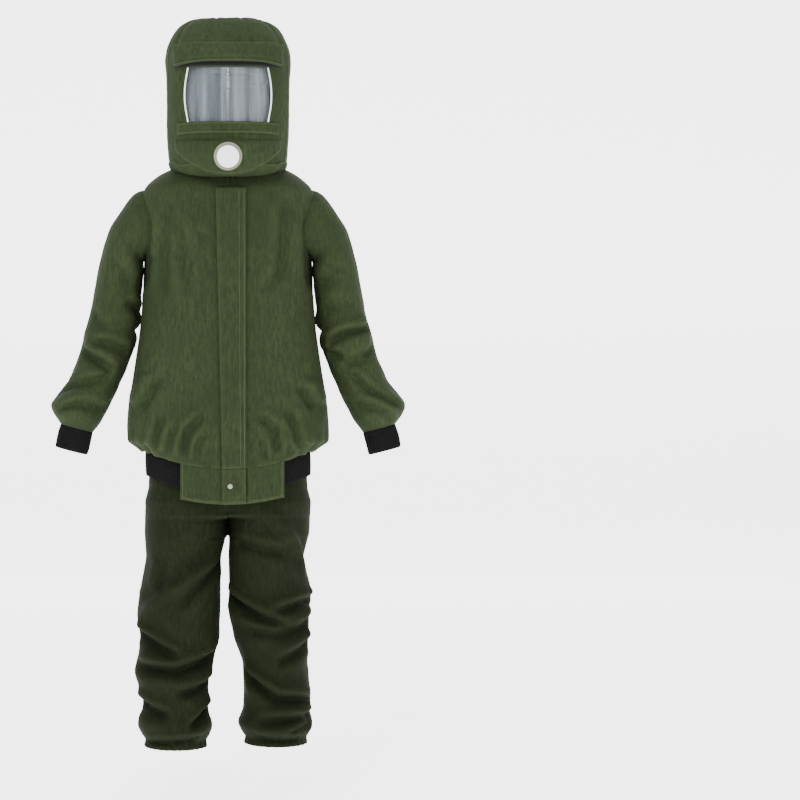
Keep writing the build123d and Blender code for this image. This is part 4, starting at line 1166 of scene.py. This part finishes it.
def make_leg(name, side):
    grid, heights, crotch_row, centre_x, middle_y = trouser_grid(name, side)
    rows, cols = grid.shape[:2]
    below = slice(crotch_row + 1, rows)
    grid[below] = smooth_grid(grid[below], 3, True)
    band_low = -0.775
    hem_z = heights[-1]
    t = (heights - hem_z) / (heights[crotch_row] - hem_z)
    shin = np.clip(1 - t / 0.8, 0, 1) ** 0.5
    centre = np.array([(centre_x(z), middle_y, z) for z in heights])[:, None, :]
    out = grid - centre
    out[..., 2] = 0
    out /= np.maximum(np.linalg.norm(out, axis=2, keepdims=True), 1e-6)
    turn = np.arctan2(side * out[..., 0], -out[..., 1])
    placed = folds(turn * LEG_RADIUS, grid[..., 2],
                   [(d, w, [(a * LEG_RADIUS, z) for a, z in marks]) for d, w,
                    marks in LEG_FOLDS[name]],
                   2 * math.pi * LEG_RADIUS)
    seed = 21.7 if side > 0 else 14.2
    slant = grid.copy()
    slant[..., 2] += side * 0.4 * grid[..., 0]
    seedling = ripple(slant * np.array([0.45, 0.45, 1.5]), 15,
                      seed) * 0.6 + ripple(slant, 34, seed + 5) * 0.4
    loose = np.clip((band_low - heights) / 0.05, 0, 1)[:,
                                                       None] * np.clip((heights - hem_z) / 0.02, 0, 1)[:, None]
    seam = np.ones((rows, cols))
    seam[:crotch_row + 1] *= np.clip(np.abs(grid[:crotch_row + 1, :, 0]) / 0.04, 0, 1)
    bag = 0.010 * np.exp(-((heights - hem_z - 0.046) / 0.022) ** 2)
    bag -= 0.005 * np.exp(-((heights - hem_z - 0.013) / 0.007) ** 2)
    placed = placed + bag[:, None]
    start = grid + out * ((placed + seedling * (0.001 + 0.002 * shin[:, None])) * loose * seam)[..., None]
    rest = start.copy()
    rest[..., 0] = centre[..., 0] + (rest[..., 0] - centre[..., 0]) * 1.01
    rest[..., 1] = centre[..., 1] + (rest[..., 1] - centre[..., 1]) * 1.01
    long = 1.02 + 0.07 * shin * np.clip(t / 0.03, 0, 1)
    step = np.diff(heights, prepend=heights[0]) * long
    rest[..., 2] = (heights[0] + np.cumsum(step))[:, None]
    pins = 0.09 + 0.25 * np.clip((heights + 0.84) / 0.08, 0, 1)[:, None] * np.ones((1, cols))
    pins = np.maximum(pins, 0.97 * np.clip((heights - band_low) / 0.03, 0, 1)[:, None])
    pins[:crotch_row + 1, [0, SEAT_COLS - 1]] = 1
    pins[:crotch_row + 1, SEAT_COLS:] = 1
    pins = np.maximum(pins, np.clip(1 - (rows - 1 - np.arange(rows))[:, None] / 2.0, 0, 1))

    def inner_part(r, c):
        return r < crotch_row and c >= SEAT_COLS - 1

    faces = grid_faces(rows, cols, True, inner_part)
    shaped = drape(start, faces, rest, np.clip(pins, 0, 1).ravel(), frames=20, goal=0.9,
                   gravity=0.25,
                   bending=0.4).reshape(rows, cols, 3)
    gather = np.clip(1 - (rows - 1 - np.arange(rows)) / 6.0, 0, 1)[:, None]
    angle = np.arctan2(out[..., 1], out[..., 0])
    pleat = np.cos(34 * angle + 2.2 * np.sin(5 * angle)) * 0.0022 * gather
    shaped = shaped + out * pleat[..., None]
    fine = soften(shaped, True)
    crotch_fine = 2 * crotch_row
    seat_edge = 2 * (SEAT_COLS - 1)

    def inner_fine(r, c):
        return r < crotch_fine and c >= seat_edge

    knee = Vector(joint[f"knee_{name}"]["pos_m"])
    leg = make_mesh(f"trouser_leg_cloth_{name}", fine,
                    grid_faces(*fine.shape[:2], True, inner_fine))
    orient(leg, Vector((centre_x(-1.1), middle_y, -1.1)))
    seat = ("trousers_waistband", "trousers_front", "trousers_back") if side > 0 else ()
    dress(leg, "cloth_trousers",
          nodes=(*seat, f"knee_{name}", f"shin_{name}", f"hem_casing_{name}"),
          blend=("trousers", f"shin_{name}", knee + Vector((0, 0, 0.062)),
                 knee - Vector((0, 0, 0.062))))
    declare(rest, True, inner_part)
    middle = seat_edge // 2
    outside = [p + Vector((side * 0.0003, 0,
                           0)) for p in map(Vector, fine[:, middle]) if p.z < -0.79]
    stitches(f"side_seam_stitches_{name}", [outside], blend=(
        "trousers", f"shin_{name}", knee + Vector((0, 0, 0.062)), knee - Vector((0, 0, 0.062))))
    return fine


def match_normals(first, second, ring):
    """Shade two pieces as one cloth along the ring of points that they share."""
    normals = []
    for obj in (first, second):
        tree = KDTree(len(obj.data.vertices))
        for k, v in enumerate(obj.data.vertices):
            tree.insert(v.co, k)
        tree.balance()
        normals.append((obj, [v.normal.copy() for v in obj.data.vertices], tree))
    for p in ring:
        hits = [tree.find(Vector(p)) for _, _, tree in normals]
        if max(h[2] for h in hits) > 0.0002:
            continue
        shared = sum((normals[k][1][hits[k][1]] for k in (0, 1)), Vector()).normalized()
        for k in (0, 1):
            normals[k][1][hits[k][1]] = shared
    for obj, values, _ in normals:
        obj.data.normals_split_custom_set_from_vertices(values)


def orient(obj, inside):
    """Turn a mesh's faces so that they look away from a point inside it."""
    mesh = obj.data
    score = sum((p.center - inside).dot(p.normal) * p.area for p in mesh.polygons)
    if score < 0:
        mesh.flip_normals()


# ---------------------------------------------------------------- hood

HOOD_COLS, HOOD_ROWS, CROWN_ROWS = 120, 30, 12
HOOD_CENTRE_Y = -0.008


def hood_grid():
    """Rings round the hood from its lower edge to the crown seam, then up and over to the top."""
    tree = tree_of("hood_crown", "hood_face_panel", "hood_side_left", "hood_side_right",
                   "hood_back_panel")
    front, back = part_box("hood_face_panel"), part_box("hood_back_panel")
    seam_z = front[1].z
    angles = np.linspace(0, 2 * math.pi, HOOD_COLS, endpoint=False)
    rows = [[] for _ in range(HOOD_ROWS + CROWN_ROWS)]
    for a in angles:
        direction = Vector((math.sin(a), -math.cos(a), 0))
        depth = (1 + direction.y) / 2
        bottom = front[0].z + 0.001 + (back[0].z - front[0].z) * depth ** 1.2
        bottom = max(bottom, front[0].z + (0.0 if depth < 0.3 else 0.012))
        for r in range(HOOD_ROWS):
            z = bottom + (seam_z - bottom) * r / (HOOD_ROWS - 1)
            rows[r].append(probe(tree, (0, HOOD_CENTRE_Y, z), direction))
        for r in range(CROWN_ROWS):
            lift = math.radians(90) * ((r + 1) / CROWN_ROWS) ** 0.9
            lift = min(lift, math.radians(88.5))
            aim = direction * math.cos(lift) + Vector((0, 0, math.sin(lift)))
            rows[HOOD_ROWS + r].append(probe(tree, (0, HOOD_CENTRE_Y, seam_z - 0.001), aim))
    for c in range(HOOD_COLS):
        column = fill_gaps([row[c] for row in rows])
        for r, p in enumerate(column):
            rows[r][c] = p
    return as_grid(rows)


def place_on(grid, x, z, back=False):
    """Fractional (row, column) of the hood's grid at a given x and height."""
    middle = HOOD_COLS // 2 if back else 0
    columns = np.arange(-HOOD_COLS // 4, HOOD_COLS // 4 + 1) + middle
    row, col = HOOD_ROWS / 2, float(middle)
    for _ in range(4):
        strip = sample(grid, np.full(len(columns), row), columns % HOOD_COLS, True)
        xs = strip[:, 0] if not back else -strip[:, 0]
        target = x if not back else -x
        col = float(np.interp(target, xs, columns))
        ladder = sample(grid, np.arange(HOOD_ROWS), np.full(HOOD_ROWS, col % HOOD_COLS), True)
        row = float(np.interp(z, ladder[:, 2], np.arange(HOOD_ROWS)))
    return row, col


def hood_normals(grid):
    return normals_of(grid, True, np.array([0.0, HOOD_CENTRE_Y, 0.17]))


def hood_patch(name, places, material="cloth_green", lift=0.0, thick=THICK, nodes=(), skip=None):
    """Piece of cloth on the hood, from a grid of (row, column) places."""
    places = np.array(places)
    points = sample(HOOD["grid"], places[..., 0], places[..., 1] % HOOD_COLS, True)
    normal = sample(HOOD["normal"], places[..., 0], places[..., 1] % HOOD_COLS, True)
    normal /= np.maximum(np.linalg.norm(normal, axis=2, keepdims=True), 1e-9)
    lift = np.asarray(lift)
    if lift.ndim == 0:
        lift = np.full(places.shape[:2], float(lift))
    points = points + normal * lift[..., None]
    obj = make_mesh(name, points, grid_faces(*points.shape[:2], False, skip))
    orient(obj, Vector((0, HOOD_CENTRE_Y, 0.17)))
    dress(obj, material, "hood", nodes=nodes, thick=thick)
    declare(points, skip=skip)
    return points


HOOD = {}


def make_hood_base():
    """Whole hood as one slack cloth: the panels are cut from it afterwards."""
    grid = smooth_grid(hood_grid(), 4, True)
    rows, cols = grid.shape[:2]
    inside = np.array([0.0, HOOD_CENTRE_Y, 0.17])
    out = normals_of(grid, True, inside)
    angles = 2 * math.pi * np.arange(cols) / cols
    facing = np.clip(np.cos(angles), 0, 1)[None, :]
    height = np.clip((np.arange(rows) / (HOOD_ROWS - 1)), 0, 1)[:, None]
    seedling = ripple(grid * np.array([1, 1, 0.35]), 22, 2.2) * 0.6 + ripple(grid, 44, 8.4) * 0.4
    calm = 1 - 0.75 * facing * (height < 0.99)
    start = grid + out * (seedling * 0.0035 * calm)[..., None]
    rest = inside + (grid - inside) * 1.025
    pins = 0.10 + 0.35 * facing ** 2 * (height < 0.99) + np.zeros((rows, cols))
    pins = np.maximum(pins, np.clip(1 - np.arange(rows)[:, None] / 2.0, 0, 1))
    pins[HOOD_ROWS - 1:] = 0.35
    faces = grid_faces(rows, cols, True)
    shaped = drape(start, faces, rest, pins.ravel(), frames=18, goal=1.1, bending=0.5, gravity=0.2)
    shaped = shaped.reshape(rows, cols, 3)
    crown_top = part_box("hood_crown")[1].z
    seam_height = grid[HOOD_ROWS - 1, :, 2].mean()
    rise = (crown_top - seam_height) / (shaped[-4:, :, 2].max() - seam_height)
    shaped[HOOD_ROWS:, :, 2] = seam_height + (shaped[HOOD_ROWS:, :, 2] - seam_height) * rise
    for col, depth in HOOD_DARTS:
        across = np.abs((np.arange(cols) - col + cols / 2) % cols - cols / 2)
        dart = np.exp(-(across / 0.9) ** 2)[None, :] * depth * np.ones((rows, 1))
        shaped[HOOD_ROWS - 1:] -= (out * dart[..., None])[HOOD_ROWS - 1:]
    HOOD["base"] = grid
    HOOD["grid"] = shaped
    HOOD["normal"] = hood_normals(shaped)


HOOD_DARTS = ((7, 0.003), (-6, 0.003), (16, 0.0035), (-16, 0.0035), (52, 0.003), (60, 0.003),
              (68, 0.003),
              (36, 0.003), (84, 0.003))


def span(a, b, n):
    return list(np.linspace(a, b, n + 1))


def make_hood():
    base = HOOD["base"]
    window_low, window_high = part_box("window_piping")
    window_half = window_high.x - 0.0024
    zs_low, zs_high = window_low.z, window_high.z + 0.002
    seam = place_on(base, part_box("hood_face_panel")[1].x - 0.006, 0.17)[1]

    def bowed(z):
        t = np.clip((z - zs_low) / (zs_high - zs_low), 0, 1)
        return window_half - 0.008 + 0.008 * math.sin(math.pi * t)

    top_row = HOOD_ROWS - 1.0
    window_rows = span(zs_low, zs_high, 26)
    places = []
    heights = []
    rows_down = span(0, 1, 22)[:-1]
    rows_up = span(0, 1, 14)[1:]
    for t in rows_down:
        heights.append(("down", t))
    for z in window_rows:
        heights.append(("window", z))
    for t in rows_up:
        heights.append(("up", t))
    zones = [span(0, 1, 14)[:-1], span(0, 1, 44), span(0, 1, 14)[1:]]
    for kind, value in heights:
        row_places = []
        z = value if kind == "window" else (zs_low if kind == "down" else zs_high)
        left, right = place_on(base, -bowed(z), z), place_on(base, bowed(z), z)

        def spot(col):
            r_edge = float(np.interp(col, (left[1], 0, right[1]),
                                     (left[0], place_on(base, 0, z)[0], right[0])))
            if kind == "down":
                return (r_edge * value, col)
            if kind == "up":
                return (r_edge + (top_row - r_edge) * value, col)
            return (r_edge, col)

        for t in zones[0]:
            row_places.append(spot(-seam + (left[1] + seam) * t))
        for t in zones[1]:
            row_places.append(spot(left[1] + (right[1] - left[1]) * t))
        for t in zones[2]:
            row_places.append(spot(right[1] + (seam - right[1]) * t))
        places.append(row_places)
    w0, w1 = len(rows_down), len(rows_down) + len(window_rows) - 1
    c0, c1 = len(zones[0]), len(zones[0]) + 44

    def window(r, c):
        return w0 <= r < w1 and c0 <= c < c1

    face = hood_patch("hood_face_cloth", places, nodes=("hood_face_panel",), skip=window)
    left_edge, right_edge = face[w0:w1 + 1, c0], face[w0:w1 + 1, c1]
    for label, edge in (("right", left_edge), ("left", right_edge)):
        tube(f"window_piping_{label}", edge + np.array([0, -0.0012, 0]), 0.0016, "piping_white",
             "hood",
             nodes=("window_piping",) if label == "left" else ())
    make_rear_panel()
    make_crown()
    for label, c_from, c_to in (("left", seam, REAR_SEAM),
                                ("right", HOOD_COLS - REAR_SEAM, HOOD_COLS - seam)):
        side = [[(r, c) for c in np.linspace(c_from, c_to,
                                             54)] for r in np.linspace(0, top_row, 60)]
        pleats = np.zeros((60, 54))
        u = np.linspace(0, 1, 54)[None, :] * np.ones((60, 1))
        for where, depth in ((0.28, 0.004), (0.55, 0.003), (0.8, 0.004)):
            pleats -= depth * np.exp(-((u - where) / 0.03) ** 2)
        hood_patch(f"hood_side_cloth_{label}", side, lift=pleats, nodes=(f"hood_side_{label}",))
    for label, col in (("left", seam), ("right", HOOD_COLS - seam), ("rear_left", REAR_SEAM),
                       ("rear_right", HOOD_COLS - REAR_SEAM)):
        strip = [[(r, col + d) for d in (-0.55, -0.25, 0, 0.25,
                                         0.55)] for r in np.linspace(0, top_row, 70)]
        seam_piece = hood_patch(f"hood_seam_{label}", strip,
                                lift=0.0011 * np.array([0.2, 1, 1.2, 1, 0.2]) * np.ones((70, 1)))
        out = seam_piece - np.array([0.0, HOOD_CENTRE_Y, 0.17])
        out[..., 2] = 0
        out *= 0.0003 / np.linalg.norm(out, axis=2, keepdims=True)
        stitches(f"hood_seam_{label}_stitches",
                 seam_lines(seam_piece + out, cols=(1.0, 3.0), lift=(0, 0, 0)), "hood")


REAR_SEAM = 43.0


def make_rear_panel():
    base = HOOD["base"]
    low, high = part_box("hood_vent_mesh")
    half, z0, z1 = high.x - 0.008, low.z + 0.008, high.z - 0.008
    left, right = place_on(base, half, 0.18, True)[1], place_on(base, -half, 0.18, True)[1]
    r0, r1 = place_on(base, 0, z0, True)[0], place_on(base, 0, z1, True)[0]
    cols = span(REAR_SEAM, left, 6)[:-1] + span(left, right,
                                                30) + span(right, HOOD_COLS - REAR_SEAM, 6)[1:]
    rows = span(0, r0, 20)[:-1] + span(r0, r1, 30) + span(r1, HOOD_ROWS - 1.0, 6)[1:]

    def vent(r, c):
        return 20 <= r < 50 and 6 <= c < 36

    hood_patch("hood_rear_cloth", [[(r, c) for c in cols] for r in rows],
               nodes=("hood_back_panel",), skip=vent)
    mesh_rows, mesh_cols = np.linspace(r0 - 0.5, r1 + 0.5,
                                       40), np.linspace(left - 0.6, right + 0.6, 40)
    hood_patch("hood_vent_net", [[(r, c) for c in mesh_cols] for r in mesh_rows], "mesh_black",
               -0.0016, 0.0004,
               nodes=("hood_vent_mesh",))
    lapel_rows = np.linspace(r1 - 1.0, HOOD_ROWS + 0.6, 16)
    lapel_cols = np.linspace(REAR_SEAM - 1.0, HOOD_COLS - REAR_SEAM + 1.0, 60)
    lift = 0.002 + 0.003 * np.linspace(1, 0, 16)[:,
                                                 None] * (1 + 0.4 * np.sin(np.linspace(0, 17, 60)))[None, :]
    hood_patch("crown_rear_lap", [[(r, c) for c in lapel_cols] for r in lapel_rows], lift=lift)


def make_crown():
    rows = np.linspace(HOOD_ROWS - 1.0, HOOD_ROWS + CROWN_ROWS - 1.0, 44)
    cols = np.linspace(0, HOOD_COLS, 200, endpoint=False)
    places = np.array([[(r, c) for c in cols] for r in rows])
    points = sample(HOOD["grid"], places[..., 0], places[..., 1], True)
    top = points[-1].mean(0)
    points = np.concatenate([points, np.repeat(top[None, None], 200, 1)])
    faces = grid_faces(*points.shape[:2], True)
    obj = make_mesh("hood_crown_cloth", points, faces)
    weld(obj)
    orient(obj, Vector((0, HOOD_CENTRE_Y, 0.2)))
    dress(obj, "cloth_green", "hood", nodes=("hood_crown",))
    declare(points, True)


def weld(obj, distance=0.0002):
    """Join points that lie on each other."""
    bm = bmesh.new()
    bm.from_mesh(obj.data)
    bmesh.ops.remove_doubles(bm, verts=bm.verts, dist=distance)
    bmesh.ops.dissolve_degenerate(bm, edges=bm.edges, dist=1e-6)
    bm.to_mesh(obj.data)
    bm.free()


def tube(name, path, radius, material, body, nodes=(), blend=None, sides=10):
    """Round cord sewn along a path."""
    path = [Vector(p) for p in path]
    rows = []
    for k, p in enumerate(path):
        t = (path[min(k + 1, len(path) - 1)] - path[max(k - 1, 0)]).normalized()
        side = t.cross(Vector((0, -1, 0.1))).normalized()
        up = side.cross(t)
        rows.append([p + (side * math.cos(2 * math.pi * j / sides) + up * math.sin(2 * math.pi * j / sides)) * radius
                     for j in range(sides)])
    faces = grid_faces(len(rows), sides, True)
    faces.append(tuple(range(sides - 1, -1, -1)))
    faces.append(tuple((len(rows) - 1) * sides + j for j in range(sides)))
    obj = make_mesh(name, as_grid(rows), faces)
    bm = bmesh.new()
    bm.from_mesh(obj.data)
    bmesh.ops.recalc_face_normals(bm, faces=bm.faces)
    bm.to_mesh(obj.data)
    bm.free()
    return dress(obj, material, body, thick=0, nodes=nodes, blend=blend)


def make_neck_skirt():
    """Gathered skirt from the hood's lower edge down into the jacket's neck."""
    levels = 22
    cols = HOOD_COLS * 2
    top = sample(HOOD["grid"], np.full(cols, 0.55), np.arange(cols) / 2, True)
    angles = 2 * math.pi * np.arange(cols) / cols
    tight = np.stack([0.088 * np.sin(angles), 0.012 - 0.086 * np.cos(angles),
                      -0.012 + 0.03 * (1 - np.cos(angles)) / 2], 1)
    inside = np.array([0.0, HOOD_CENTRE_Y, 0.1])
    away = top - inside
    away[:, 2] = 0
    away /= np.linalg.norm(away, axis=1, keepdims=True)
    rows = []
    for level in range(levels):
        t = level / (levels - 1)
        fold = np.cos(31 * angles + 2.5 * np.sin(4 * angles)) * 0.0028 * math.sin(math.pi * min(1.0, 1.1 * (1 - t) + 0.05))
        ring = tight * (1 - t) + (top - away * 0.0018) * t
        ring[:, 2] -= 0.012 * math.sin(math.pi * t) ** 0.8 * (1 - t * 0.3)
        rows.append(ring + away * (fold + 0.013 * math.sin(math.pi * t * 0.9))[:, None])
    grid = np.array(rows)
    obj = make_mesh("neck_skirt_cloth", grid, grid_faces(*grid.shape[:2], True))
    orient(obj, Vector((0, 0.01, 0.06)))
    dress(obj, "cloth_green", "hood", nodes=("neck_skirt",))
    declare(grid, True)


def make_collar():
    """Stand collar: a doubled band round the neck, open at the zip."""
    tree = tree_of("collar_band")
    axis = Vector((0, -math.sin(math.radians(22)), math.cos(math.radians(22))))
    centre = Vector((0, 0.014, 0.0))
    rows = []
    for level in range(9):
        t = level / 8
        offset = -0.0115 + 0.041 * t
        row = []
        for k in range(181):
            a = math.radians(3.6) + (2 * math.pi - math.radians(7.2)) * k / 180
            direction = Vector((math.sin(a), -math.cos(a) * math.cos(math.radians(22)),
                                -math.cos(a) * math.sin(math.radians(22))))
            p = probe(tree, centre + axis * offset, direction,
                      centre + axis * offset + direction * 0.09)
            row.append(p + direction * (0.0012 * math.sin(9 * a) * t + (0.0016 if level in (1, 7) else 0.0006)))
        rows.append(row)
    grid = as_grid(rows)
    obj = make_mesh("collar_cloth", grid, grid_faces(*grid.shape[:2], False))
    orient(obj, Vector((0, 0.014, 0.01)))
    dress(obj, "cloth_green", "jacket", nodes=("collar_band",), thick=0.0018)
    declare(grid)


def cad_finishes():
    """Real materials on the CAD nodes that are shown as they are."""
    for row in frame["record"]["subparts"]:
        node = frame["nodes"][row["node"]]
        node.data.materials.clear()
        node.data.materials.append(finish_of[row["material_slot"]])
        if row["node"] in ("valve_cap", "valve_body", "visor_lens", "head_band", "crown_straps",
                           "window_gasket",
                           "snap_cap", "valve_gasket"):
            for polygon in node.data.polygons:
                polygon.use_smooth = True


def make_brow():
    """Flap over the window's top edge, its ends drooping a little."""
    tree = tree_of("brow_flap")
    low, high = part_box("brow_flap")
    rows_n, cols_n = 18, 90
    half = high.x - 0.002
    columns = []
    for c in range(cols_n + 1):
        u = -1 + 2 * c / cols_n
        x = half * u
        found = []
        for r in range(rows_n + 1):
            z = low.z + 0.001 + (high.z - 0.0012 - low.z) * r / rows_n
            hit = tree.ray_cast(Vector((x, low.y - 0.1, z)), Vector((0, 1, 0)))[0]
            found.append((z, hit.y if hit else None))
        known = [(z, y) for z, y in found if y is not None]
        column = []
        for z, y in found:
            if y is None:
                near_z, near_y = min(known, key=lambda k: abs(k[0] - z))
                y = near_y + 0.25 * (z - near_z)
            t = (z - low.z) / (high.z - low.z)
            corner = max(0.0, abs(u) - 0.90) / 0.10
            droop = (0.010 * abs(u) ** 3 - 0.004 - 0.006 * corner ** 2) * (1 - t) ** 0.8
            swell = 0.0045 * math.sin(math.pi * min(1.0, t * 1.1)) * (1 - u ** 6)
            column.append(Vector((x * (1 - 0.012 * corner * (1 - t)), y - swell, z - droop)))
        columns.append(column)
    grid = np.array([[tuple(p) for p in column] for column in columns]).transpose(1, 0, 2)
    grid = smooth_grid(grid, 1, False)
    grid[..., 1] -= ripple(grid * np.array([1.2, 0, 1]), 26, 6.0) * 0.0018
    grid[..., 1] += 0.0016 * np.exp(-((np.linspace(0, 1, rows_n + 1)[:, None] - 0.16) / 0.05) ** 2)
    obj = make_mesh("brow_flap_cloth", grid, grid_faces(*grid.shape[:2], False))
    orient(obj, Vector((0, 0, 0.25)))
    dress(obj, "cloth_green", "brow_flap", nodes=("brow_flap",), thick=0.002)
    declare(grid)
    stitches("brow_flap_stitches", seam_lines(grid, rows=(1.6,), lift=(0, -0.0004, 0)), "brow_flap")


def make_bib():
    """Chin bib: read from the front, its curved edge turned under."""
    tree = tree_of("chin_bib")
    low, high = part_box("chin_bib")
    cols, levels = 90, 34
    half = high.x - 0.001
    columns = []
    for c in range(cols + 1):
        x = -half + 2 * half * c / cols
        zs = np.linspace(low.z - 0.002, high.z, 180)
        found = [z for z in zs if tree.ray_cast(Vector((x, low.y - 0.1, z)), Vector((0, 1, 0)))[0]]
        z_low = min(found) if found else high.z - 0.02
        column = []
        for r in range(levels + 1):
            z = z_low + 0.0004 + (high.z - 0.0005 - z_low) * r / levels
            column.append(tree.ray_cast(Vector((x, low.y - 0.1, z)), Vector((0, 1, 0)))[0])
        column = fill_gaps(column) if any(p is not None for p in column) else None
        columns.append(column)
    known = [c for c in columns if c is not None]
    grid = np.array([[tuple(p) for p in column] for column in known]).transpose(1, 0, 2)
    grid = smooth_grid(grid, 2, False)
    u = np.linspace(-1, 1, grid.shape[1])[None, :]
    v = np.linspace(0, 1, grid.shape[0])[:, None]
    wave = ripple(grid * np.array([1, 0, 1.6]), 20, 4.4) * 0.0022
    crease = 0.005 * np.exp(-((v - 0.97) / 0.05) ** 2)
    tuck = 0.003 * np.exp(-(v / 0.05) ** 2)
    grid[...,
         1] += -0.0015 + wave + 1.3 * crease + tuck - 0.005 * np.sin(math.pi * v) * (1 - u ** 4)
    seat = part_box("valve_gasket")
    flat = np.exp(-(((grid[..., 0]) / 0.042) ** 2 + ((grid[...,
                                                           2] - (seat[0].z + seat[1].z) / 2) / 0.042) ** 2) ** 2)
    target = np.interp(grid[..., 2], (seat[0].z, seat[1].z),
                       (seat[1].y - 0.0002, seat[0].y + 0.0016 + 0.0003))
    grid[..., 1] = grid[..., 1] * (1 - flat) + target * flat
    obj = make_mesh("chin_bib_cloth", grid, grid_faces(*grid.shape[:2], False))
    orient(obj, Vector((0, 0, 0.03)))
    dress(obj, "cloth_green", "hood", nodes=("chin_bib",), thick=0.0016)
    declare(grid)
    stitches("chin_bib_stitches", seam_lines(grid, rows=(1.6,), lift=(0, -0.0004, 0)), "hood")


# ---------------------------------------------------------------- assembly


def build():
    set_camera()
    set_stage()
    finish_of.update(make_materials())
    cad_finishes()
    make_jacket()
    for name, side in SIDES:
        make_sleeve(name, side)
        make_cuff(name, side)
        make_leg(name, side)
    make_waist_rib()
    front_strip("storm_flap_cloth", "storm_flap", "storm_flap", wave=0.0016, seed=2.0,
                seam_cols=(-0.8, -2.6))
    front_strip("flap_hem_end_cloth", "flap_hem_end", "storm_flap", wave=0.0008, seed=3.0,
                seam_rows=(0.9,))
    front_strip("hem_tab_cloth_right", "hem_tab_right", "jacket", wave=0.0012, seed=4.0, tuck=3,
                seam_rows=(0.9,), seam_cols=(0.9,))
    front_strip("hem_tab_cloth_left", "hem_tab_left", "jacket", wave=0.0012, seed=5.0, tuck=3,
                seam_rows=(0.9,), seam_cols=(-0.9,))
    make_hood_base()
    make_hood()
    make_bib()
    make_brow()
    front_strip("brow_hook_strip", "brow_hook_tape", "brow_flap", "tape_black", cell=0.004,
                wave=0.0, seed=7.0)
    front_strip("brow_loop_strip", "brow_loop_tape", "hood", "tape_black", cell=0.004, wave=0.0,
                seed=8.0)
    front_strip("window_sill_cloth", "window_sill_band", "hood", cell=0.004, wave=0.0008, seed=9.0,
                seam_rows=(0.9, -0.9))
    make_neck_skirt()
    make_collar()


build()
